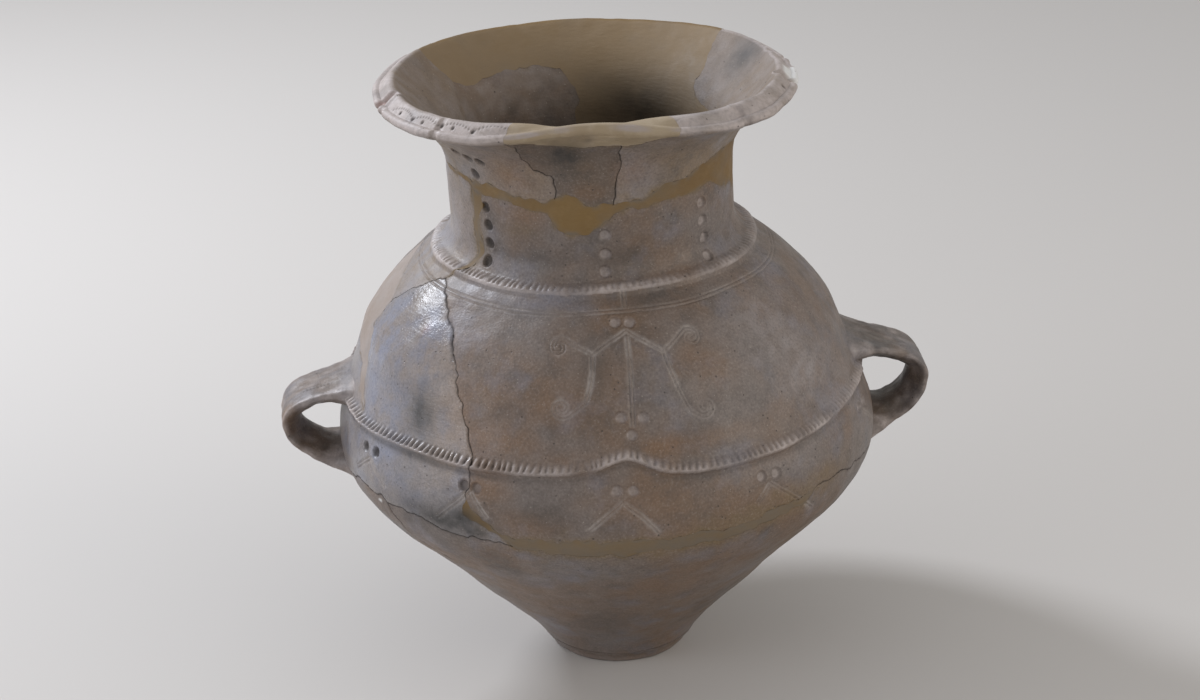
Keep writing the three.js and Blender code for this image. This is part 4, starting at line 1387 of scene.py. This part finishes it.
# %% Extruding a strap
def strap(name, side, reach_out, upper, middle, lower, seed):
    """Extrude one ring along the middle line, and end it just under the face of the wall."""
    path = strap_path(reach_out, upper, middle, lower)
    pick = np.linspace(0, len(path) - 1, strap_stations + 1).astype(int)
    run = np.gradient(path, axis=0)
    run = run / np.hypot(*run.T)[:, None]
    bm = bmesh.new()
    bmesh.ops.create_circle(bm, segments=strap_ring, radius=1.0, cap_ends=True)
    cap = list(bm.faces)[0]
    ring = [(vert, math.atan2(vert.co.y, vert.co.x)) for vert in bm.verts]
    uneven = waves(seed, 26.0)
    lumps = waves(seed + 1, 9.0)

    def place(verts, station):
        centre, along = path[pick[station]], run[pick[station]]
        share = station / strap_stations
        spread = abs(2 * share - 1) ** 2.5
        from_end = min(station, strap_stations - station)
        smear = max(0.0, 1 - from_end / strap_smear) ** 2
        tuck = max(0.0, 1 - from_end / strap_tuck) ** 1.5
        half_width = (strap_width + (strap_root_width - strap_width) * spread) / 2
        half_width += smear_width * smear
        half_depth = (strap_thickness + (strap_root_thickness - strap_thickness) * spread) / 2
        half_depth += smear_depth * smear
        for vert, turn in verts:
            across = math.cos(turn)
            deep = math.copysign(abs(math.sin(turn)) ** 0.6, math.sin(turn))
            swell = strap_swell * (1 - across * across) if deep < 0 else 0.0
            lift = deep * (half_depth + swell) + strap_dish * (across * across - 0.5)
            radius = centre[0] - along[1] * lift
            height = centre[1] + along[0] * lift
            spot = np.array((side * radius, -side * across * half_width, height))
            soft = 0.5 * float(uneven(spot)) + 0.18 * float(lumps(spot)) - 1.15
            lift += soft * deep * 0.7
            width = across * (half_width + 0.8 * soft)
            radius = centre[0] - along[1] * lift
            height = centre[1] + along[0] * lift
            reach = math.hypot(radius, width)
            tucked = reach + (float(radius_at(height)) - strap_bury - reach) * tuck
            vert.co = (side * radius * tucked / reach, -side * width * tucked / reach, height)

    place(ring, 0)
    for station in range(1, strap_stations + 1):
        grown = bmesh.ops.extrude_face_region(bm, geom=[cap])["geom"]
        if station > 1:
            bmesh.ops.delete(bm, geom=[cap], context="FACES_ONLY")
        cap = next(face for face in grown if isinstance(face, bmesh.types.BMFace))
        ends = {tuple(round(value, 4) for value in vert.co): turn for vert, turn in ring}
        ring = [(vert, ends[tuple(round(value, 4) for value in vert.co)]) for vert in cap.verts]
        place(ring, station)
    bmesh.ops.recalc_face_normals(bm, faces=bm.faces[:])
    piece = to_object(bm, name)
    print(name, "vertices:", len(piece.data.vertices))
    return piece, path


left_strap, left_path = strap("left_handle_clay", -1, 43.0, 227.0, 204.0, 169.0, 41)
right_strap = strap("right_handle_clay", 1, 43.5, 236.5, 212.0, 171.0, 51)[0]

# %% [markdown]
# ## Marks on the straps
# The straps have the same fire marks and rubbed edges as the wall, with more gloss, painted sheen
# and paling on the left strap, and they are darker low down and where they meet the wall. The
# pricked dots of the left one are pressed in towards the middle of the loop.

# %% Pricks and marks
def prick_places(path):
    """A row of dots pricked along the top of the left strap."""
    rows = []
    for share in np.linspace(0.13, 0.47, 17):
        spot = int(share * (len(path) - 1))
        along = path[spot + 1] - path[spot]
        along = along / np.hypot(*along)
        face = path[spot] + np.array((-along[1], along[0])) * strap_thickness * 0.45
        rows.append((-face[0], -11.0 + 5.0 * share, face[1]))
    return np.array(rows)


pricks_of_left = prick_places(left_path)
pricks = seek(pricks_of_left)


def strap_marks(piece, node, warm, pale):
    """Prick and mark a strap, press and lean it like the wall, and hand it to the frame."""
    mesh = piece.data
    points = positions(mesh)
    centre = np.array((np.sign(points[:, 0].mean()) * 205.0, 0.0, 205.0))
    off_wall = np.hypot(points[:, 0], points[:, 1]) - radius_at(points[:, 2])
    root = 1 - smooth_step(0.0, 12.0, off_wall)
    palm, finger = palm_waves(points), finger_waves(points)
    zero = np.zeros(len(points))
    prick = zero
    if node == "left_handle":
        prick = hump(away_from(pricks, points, far_away), 0.8)
        inward = centre - points
        inward = inward / np.linalg.norm(inward, axis=1)[:, None]
        points = points + inward * (0.8 * prick)[:, None]
    warm_share = warm * (0.6 + 0.4 * palm) * smooth_step(215.0, 185.0, points[:, 2])
    shows = {
        "soot": np.clip(0.35 * smooth_step(0.2, 1.4, palm) + 0.3 * (points[:, 2] < 195), 0, 1),
        "warmth": np.clip(warm_share, 0, 1),
        "sheen": np.clip(0.35 + 0.25 * palm, 0, 1) * pale,
        "bloom": np.clip(0.5 * root + 0.2 * palm, 0, 1) * pale,
        "fresh": zero, "rust": zero, "inside": zero, "residue": zero, "smear": zero,
        "dirt": np.clip(0.1 * hump(off_wall, 1.0) + 0.9 * prick, 0, 1),
        "worn": np.clip(0.35 * smooth_step(20.0, 24.0, np.abs(points[:, 1])) + 0.15 * finger, 0, 1),
    }
    set_positions(mesh, pressed(points) * metres)
    keep_marks(mesh, shows)
    finish_mesh(piece, piece.name)
    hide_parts(node)


# The left strap gets more gloss, painted sheen and paling than the right one.
strap_marks(left_strap, "left_handle", 0.6, 1.0)
strap_marks(right_strap, "right_handle", 0.3, 0.2)
print("pricked dots:", len(pricks_of_left))

# %% [markdown]
# ## Colours and nodes
# Colours are written as sRGB hex values, as a swatch shows them, and one function turns them to the
# linear values in which light adds up. A finish is a tree of nodes, and one small helper adds a
# node with its settings and its links.

# %% Colours and one helper for nodes
def linear(hex_value):
    """An sRGB hex colour as linear red, green, blue and full cover."""
    parts = [int(hex_value[i:i + 2], 16) / 255 for i in (1, 3, 5)]
    return tuple(c / 12.92 if c <= 0.04045 else ((c + 0.055) / 1.055) ** 2.4
                 for c in parts) + (1.0,)


def add(tree, kind, settings=(), links=()):
    """Add a node, set its properties or sockets, and link sockets to it."""
    new = tree.nodes.new(kind)
    for title, value in dict(settings).items():
        if isinstance(title, str) and hasattr(new, title):
            setattr(new, title, value)
        else:
            new.inputs[title].default_value = value
    for title, socket in dict(links).items():
        tree.links.new(socket, new.inputs[title])
    return new


print("middle grey in linear light:", round(linear("#808080")[0], 3))

# %% [markdown]
# ## Layers of colour
# Fired clay has no single colour: it wanders with the fire in clouds as wide as a hand, is mottled
# by fingers and dust, and is grainy close by. So a finish is a stack of tints over a base. Each is
# spread by a noise of a real size and, where fire or use left a mark, by its kept strength.

# %% Layers of colour
# Sizes of the noises in millimetres, with their detail, from fire clouds and hand-wide mottling to
# fine breaks and the grain of the clay, which is drawn a little coarse so that it shows.
noise_sizes = {"cloud": (75, 3), "haze": (41, 4), "dapple": (21, 5), "dust": (13, 5),
               "patch": (8, 6), "fine": (3.6, 4), "grain": (1.7, 6)}


def coloured(tree, place, base, layers):
    """Lay tints over a base. Each has a mark or none, a noise with the low and the high end that
    count, the least and the most cover there, and a tint. Sockets that share a name go by number.
    """
    noises = {}
    for title, (size, detail) in noise_sizes.items():
        settings = {"Scale": 1000 / size, "Detail": detail, "Roughness": 0.58}
        noise = add(tree, "ShaderNodeTexNoise", settings, {"Vector": place})
        noises[title] = noise.outputs["Fac"]
    colour = None
    for mark, noise, low, high, least, most, tint in layers:
        share = add(tree, "ShaderNodeMapRange", {1: low, 2: high, 3: least, 4: most},
                    {0: noises[noise]}).outputs[0]
        if mark:
            kept = add(tree, "ShaderNodeAttribute", {"attribute_name": mark}).outputs["Fac"]
            share = add(tree, "ShaderNodeMath", {"operation": "MULTIPLY"},
                        {0: share, 1: kept}).outputs[0]
        mix = add(tree, "ShaderNodeMix", {"data_type": "RGBA", 6: linear(base), 7: linear(tint)},
                  {0: share})
        if colour:
            tree.links.new(colour, mix.inputs[6])
        colour = mix.outputs[2]
    return colour, noises


def new_finish(title):
    """A material with an empty shader, and the place in the object that patterns start from."""
    material = bpy.data.materials.new(title)
    material.use_nodes = True
    tree = material.node_tree
    tree.nodes.clear()
    shader = add(tree, "ShaderNodeBsdfPrincipled", {"IOR": 1.5})
    add(tree, "ShaderNodeOutputMaterial", links={"Surface": shader.outputs[0]})
    place = add(tree, "ShaderNodeTexCoord").outputs["Object"]
    return material, tree, shader, place


print("noise sizes in mm:", {title: size for title, (size, detail) in noise_sizes.items()})

# %% [markdown]
# ## Burnished clay
# Low-fired earthenware, rubbed with a pebble before the fire. Rubbing lays the flakes of the clay
# flat, so it shines a little in broad light, while temper grains, pits, dirt and worn places stay
# matt. To the eye that is a soft sheen, broken all over. So the roughness follows the marks, and a
# fine bump adds grain, pebble strokes and dents that are too small for the mesh.

# %% Burnished clay
def burnished_clay(title, body, brown, dark, grey, gloss):
    """Four shades that the fire mixes, the grey one also laid as painted sheen, and a gloss that is
    the roughness of a well rubbed place.
    """
    material, tree, shader, place = new_finish(title)
    colour, noises = coloured(tree, place, body, [
        (None, "cloud", 0.4, 0.62, 0.0, 1.0, brown),
        (None, "dapple", 0.48, 0.72, 0.0, 0.7, dark),
        (None, "haze", 0.53, 0.72, 0.0, 0.65, grey),
        (None, "patch", 0.5, 0.75, 0.0, 0.35, dark),
        ("warmth", "patch", 0.3, 0.65, 0.45, 0.95, "#82603f"),
        ("sheen", "dapple", 0.4, 0.62, 0.15, 0.95, grey),
        ("bloom", "dust", 0.35, 0.65, 0.2, 0.95, "#9f9896"),
        ("smear", "dust", 0.3, 0.6, 0.35, 0.95, "#77654b"),
        (None, "grain", 0.5, 0.72, 0.0, 0.42, "#453e39"),
        (None, "grain", 0.47, 0.3, 0.0, 0.26, "#a1978f"),
        ("inside", "dust", 0.3, 0.7, 0.3, 0.75, "#7a6a5b"),
        ("soot", "patch", 0.3, 0.6, 0.6, 1.0, "#363432"),
        # The worn mark also carries the painted highlight on the ticks of the cordons.
        ("worn", "fine", 0.3, 0.62, 0.45, 1.0, "#b3a8a3"),
        ("residue", "fine", 0.3, 0.62, 0.35, 0.95, "#9f968f"),
        ("dirt", "fine", 0.25, 0.6, 0.65, 1.0, "#2a2522"),
        ("rust", "fine", 0.2, 0.4, 0.85, 1.0, "#7a3c25"),
        ("fresh", "fine", 0.1, 0.2, 1.0, 1.0, "#dcdbd8"),
    ])
    # Pale temper grains and dark pits, under a millimetre across, in cells of 5 and 9 mm.
    for size, width, most, tint in ((5.0, 0.06, 0.35, "#b1a89f"), (9.0, 0.05, 0.65, "#2f2a27")):
        cells = add(tree, "ShaderNodeTexVoronoi", {"Scale": 1000 / size}, {"Vector": place})
        speck = add(tree, "ShaderNodeMapRange", {1: width, 2: width * 1.8, 3: most, 4: 0.0},
                    {0: cells.outputs["Distance"]})
        colour = add(tree, "ShaderNodeMix", {"data_type": "RGBA", 7: linear(tint)},
                     {0: speck.outputs[0], 6: colour}).outputs[2]
    tree.links.new(colour, shader.inputs["Base Color"])

    rough = add(tree, "ShaderNodeMapRange", {1: 0.3, 2: 0.7, 3: gloss - 0.08, 4: gloss + 0.14},
                {0: noises["dust"]})
    rough = rough.outputs[0]
    worn_gloss = {"sheen": gloss - 0.12, "bloom": 0.62, "dirt": 0.9, "residue": 0.8,
                  "inside": 0.66, "smear": 0.75}
    for mark, reached in worn_gloss.items():
        kept = add(tree, "ShaderNodeAttribute", {"attribute_name": mark}).outputs["Fac"]
        rough = add(tree, "ShaderNodeMix", {3: reached}, {0: kept, 2: rough}).outputs[0]
    tree.links.new(rough, shader.inputs["Roughness"])

    # Relief finer than the mesh: pits, grain, pebble strokes that run along the wall, and dents.
    stroke_place = add(tree, "ShaderNodeMapping", {"Scale": (0.25, 0.25, 1.6)},
                       {"Vector": place}).outputs[0]
    strokes = add(tree, "ShaderNodeTexNoise", {"Scale": 1000 / 3.5},
                  {"Vector": stroke_place}).outputs["Fac"]
    height = add(tree, "ShaderNodeMath", {"operation": "MULTIPLY", 1: -1.2},
                 {0: speck.outputs[0]}).outputs[0]
    layers = ((noises["grain"], 0.55), (strokes, 0.5), (noises["dust"], 1.1),
              (noises["fine"], 0.35))
    for noise, share in layers:
        height = add(tree, "ShaderNodeMath", {"operation": "MULTIPLY_ADD", 1: share},
                     {0: noise, 2: height}).outputs[0]
    bump = add(tree, "ShaderNodeBump", {"Strength": 0.6, "Distance": 0.0007}, {"Height": height})
    tree.links.new(bump.outputs[0], shader.inputs["Normal"])
    return material


# %% [markdown]
# ## Tinted plaster
# Gypsum plaster with earth pigment stirred in, pressed into the gap, scraped level when firm and
# brushed. To the eye it is matt and more even than clay, so a fill can be told from a sherd, with
# faint brush marks, soft lumps and a dusty veil.

# %% Tinted plaster
def tinted_plaster(title, body, shade, light, veil):
    """A body colour with darker and lighter clouds, and a veil of dust."""
    material, tree, shader, place = new_finish(title)
    colour, noises = coloured(tree, place, body, [
        (None, "cloud", 0.42, 0.66, 0.0, 0.8, shade),
        (None, "haze", 0.5, 0.7, 0.0, 0.55, veil),
        (None, "patch", 0.52, 0.8, 0.0, 0.5, light),
        (None, "grain", 0.55, 0.8, 0.0, 0.35, shade),
        ("smear", "dust", 0.3, 0.65, 0.6, 1.0, veil),
        ("inside", "dust", 0.3, 0.7, 0.55, 0.9, "#8a775d"),
        ("bloom", "dust", 0.35, 0.6, 0.3, 1.0, "#a0958f"),
        ("soot", "dapple", 0.3, 0.6, 0.75, 0.95, "#2e261c"),
        ("dirt", "fine", 0.3, 0.6, 0.4, 0.8, "#3a2e20"),
    ])
    tree.links.new(colour, shader.inputs["Base Color"])
    rough = add(tree, "ShaderNodeMapRange", {1: 0.3, 2: 0.7, 3: 0.6, 4: 0.82}, {0: noises["dust"]})
    tree.links.new(rough.outputs[0], shader.inputs["Roughness"])
    # Brush marks along the wall and the soft lumps of the filler.
    stroke_place = add(tree, "ShaderNodeMapping", {"Scale": (0.3, 0.3, 1.2)},
                       {"Vector": place}).outputs[0]
    strokes = add(tree, "ShaderNodeTexNoise", {"Scale": 1000 / 2.4},
                  {"Vector": stroke_place}).outputs["Fac"]
    height = add(tree, "ShaderNodeMath", {"operation": "ADD"},
                 {0: strokes, 1: noises["patch"]}).outputs[0]
    bump = add(tree, "ShaderNodeBump", {"Strength": 0.5, "Distance": 0.0005}, {"Height": height})
    tree.links.new(bump.outputs[0], shader.inputs["Normal"])
    return material


# %% [markdown]
# ## Each piece gets its finish
# Sherds of one pot lie in the ground apart and age apart: grey-brown for most of it, darker where
# soot stayed, blue-grey and more shiny at the left, and pale and matt where the skin is worn. The
# plaster is ochre, with a pale mix in the lip and a dusty, worn one beside the left handle.

# %% The finishes
clay_shades = {
    "clay_grey_brown": ("#746a64", "#745f4e", "#554e4a", "#7e7c84", 0.47),
    "clay_dark": ("#675e58", "#6b5b4d", "#46413d", "#727075", 0.48),
    "clay_blue_grey": ("#817b79", "#86776a", "#5b585b", "#858999", 0.33),
    "clay_pale": ("#857b76", "#83725f", "#645c56", "#8f8d93", 0.52),
}
plaster_shades = {
    "plaster_ochre": ("#7a6139", "#6d5533", "#876f4a", "#6f6456"),
    "plaster_worn": ("#968a82", "#86776a", "#a49c97", "#8b8480"),
    "plaster_pale": ("#a3937b", "#8f7d62", "#b3a58f", "#97897a"),
}
finishes = {slot: burnished_clay(f"burnished_{slot}", *shades)
            for slot, shades in clay_shades.items()}
finishes.update({slot: tinted_plaster(f"tinted_{slot}", *shades)
                 for slot, shades in plaster_shades.items()})
slots = {node: slot for node, (_, slot) in wall_pieces.items()}
slots.update(foot="clay_grey_brown", left_handle="clay_grey_brown", right_handle="clay_dark",
             shoulder_fill_left="plaster_worn")
for piece in list(pieces.values()) + [foot_piece, left_strap, right_strap]:
    piece.data.materials.clear()
    node = piece.name.rsplit("_", 1)[0]
    piece.data.materials.append(finishes[slots[node]])
print("finishes:", [material.name for material in finishes.values()])

# %% [markdown]
# ## The floor
# A studio floor with matt pale paint, which mirrors nothing and keeps the pot's soft shadow. It is
# one round face, so large that its edge lies far behind everything in view.

# %% The floor
floor_radius = 14.0
bm = bmesh.new()
bmesh.ops.create_circle(bm, cap_ends=True, segments=96, radius=floor_radius)
floor = to_object(bm, "floor")
floor_paint, tree, shader, place = new_finish("matt_floor_paint")
shader.inputs["Base Color"].default_value = linear("#c8c4bf")
shader.inputs["Roughness"].default_value = 0.85
floor.data.materials.append(floor_paint)
print("floor faces:", len(floor.data.polygons))

# %% [markdown]
# ## Light
# A lamp behind the pot at the upper left, as from a window there, grazes the relief and puts a soft
# shine on the burnished shoulder. Two broad ones at the sides fill the shadows, at a level at which
# a colour looks as it is written. The world is soft and grey for the pot, and a pale backdrop for
# the camera and for what mirrors it.

# %% Lamps and world
def lamp(title, place, aim, size, watts, tint):
    """A round area lamp at a place, turned to an aim."""
    data = bpy.data.lights.new(title, "AREA")
    data.shape = "DISK"
    data.size = size
    data.energy = watts
    data.color = linear(tint)[:3]
    light = bpy.data.objects.new(title, data)
    light.location = place
    light.rotation_euler = (Vector(aim) - Vector(place)).to_track_quat("-Z", "Y").to_euler()
    bpy.context.scene.collection.objects.link(light)


lamp("window_light", (-1.5, 1.25, 1.8), (0, 0, 0.3), 0.6, 47.0, "#f0f5ff")
lamp("side_light", (-2.2, -0.7, 0.75), (0, 0, 0.22), 1.4, 15.0, "#f4f6ff")
lamp("room_light", (2.2, -1.3, 1.15), (0, 0, 0.2), 2.2, 22.0, "#fff8f0")
world = bpy.data.worlds.new("soft_room")
world.use_nodes = True
bpy.context.scene.world = world
tree = world.node_tree
tree.nodes.clear()
rays = add(tree, "ShaderNodeLightPath").outputs
seen = rays["Is Camera Ray"]
for kind in ("Is Glossy Ray", "Is Transmission Ray"):
    seen = add(tree, "ShaderNodeMath", {"operation": "MAXIMUM"},
               {0: seen, 1: rays[kind]}).outputs[0]
room = add(tree, "ShaderNodeBackground", {"Color": linear("#f2f3f6"), "Strength": 0.55}).outputs[0]
backdrop = add(tree, "ShaderNodeBackground",
               {"Color": linear("#d8d6d2"), "Strength": 0.8}).outputs[0]
both = add(tree, "ShaderNodeMixShader", {}, {0: seen, 1: room, 2: backdrop}).outputs[0]
add(tree, "ShaderNodeOutputWorld", {}, {"Surface": both})
print("lamps:", len(bpy.data.lights))

# %% [markdown]
# ## Camera
# It stands where the photograph was taken from: 23 degrees above the horizon, a little to the left
# of the front, and with the picture rolled by two degrees. A long lens keeps the lines quiet.

# %% Camera
camera_azimuth = math.radians(-4.0)
camera_elevation = math.radians(23.21)
camera_distance = 2.15
camera_roll = math.radians(-1.98)
aim = Vector((0.0, 0.0, 0.2365))
away = Vector((math.sin(camera_azimuth) * math.cos(camera_elevation),
               -math.cos(camera_azimuth) * math.cos(camera_elevation), math.sin(camera_elevation)))
lens = bpy.data.cameras.new("camera")
lens.lens = 85.8
lens.sensor_width = 36.0
lens.clip_end = 100.0
lens.shift_x = -0.0085
lens.shift_y = 0.0017
camera = bpy.data.objects.new("camera", lens)
turned = (-away).to_track_quat("-Z", "Y").to_matrix() @ Matrix.Rotation(camera_roll, 3, "Z")
camera.matrix_world = Matrix.Translation(aim + away * camera_distance) @ turned.to_4x4()
bpy.context.scene.collection.objects.link(camera)
bpy.context.scene.camera = camera
bpy.context.scene.view_settings.view_transform = "Standard"
print("camera at:", [round(value, 3) for value in camera.matrix_world.translation])
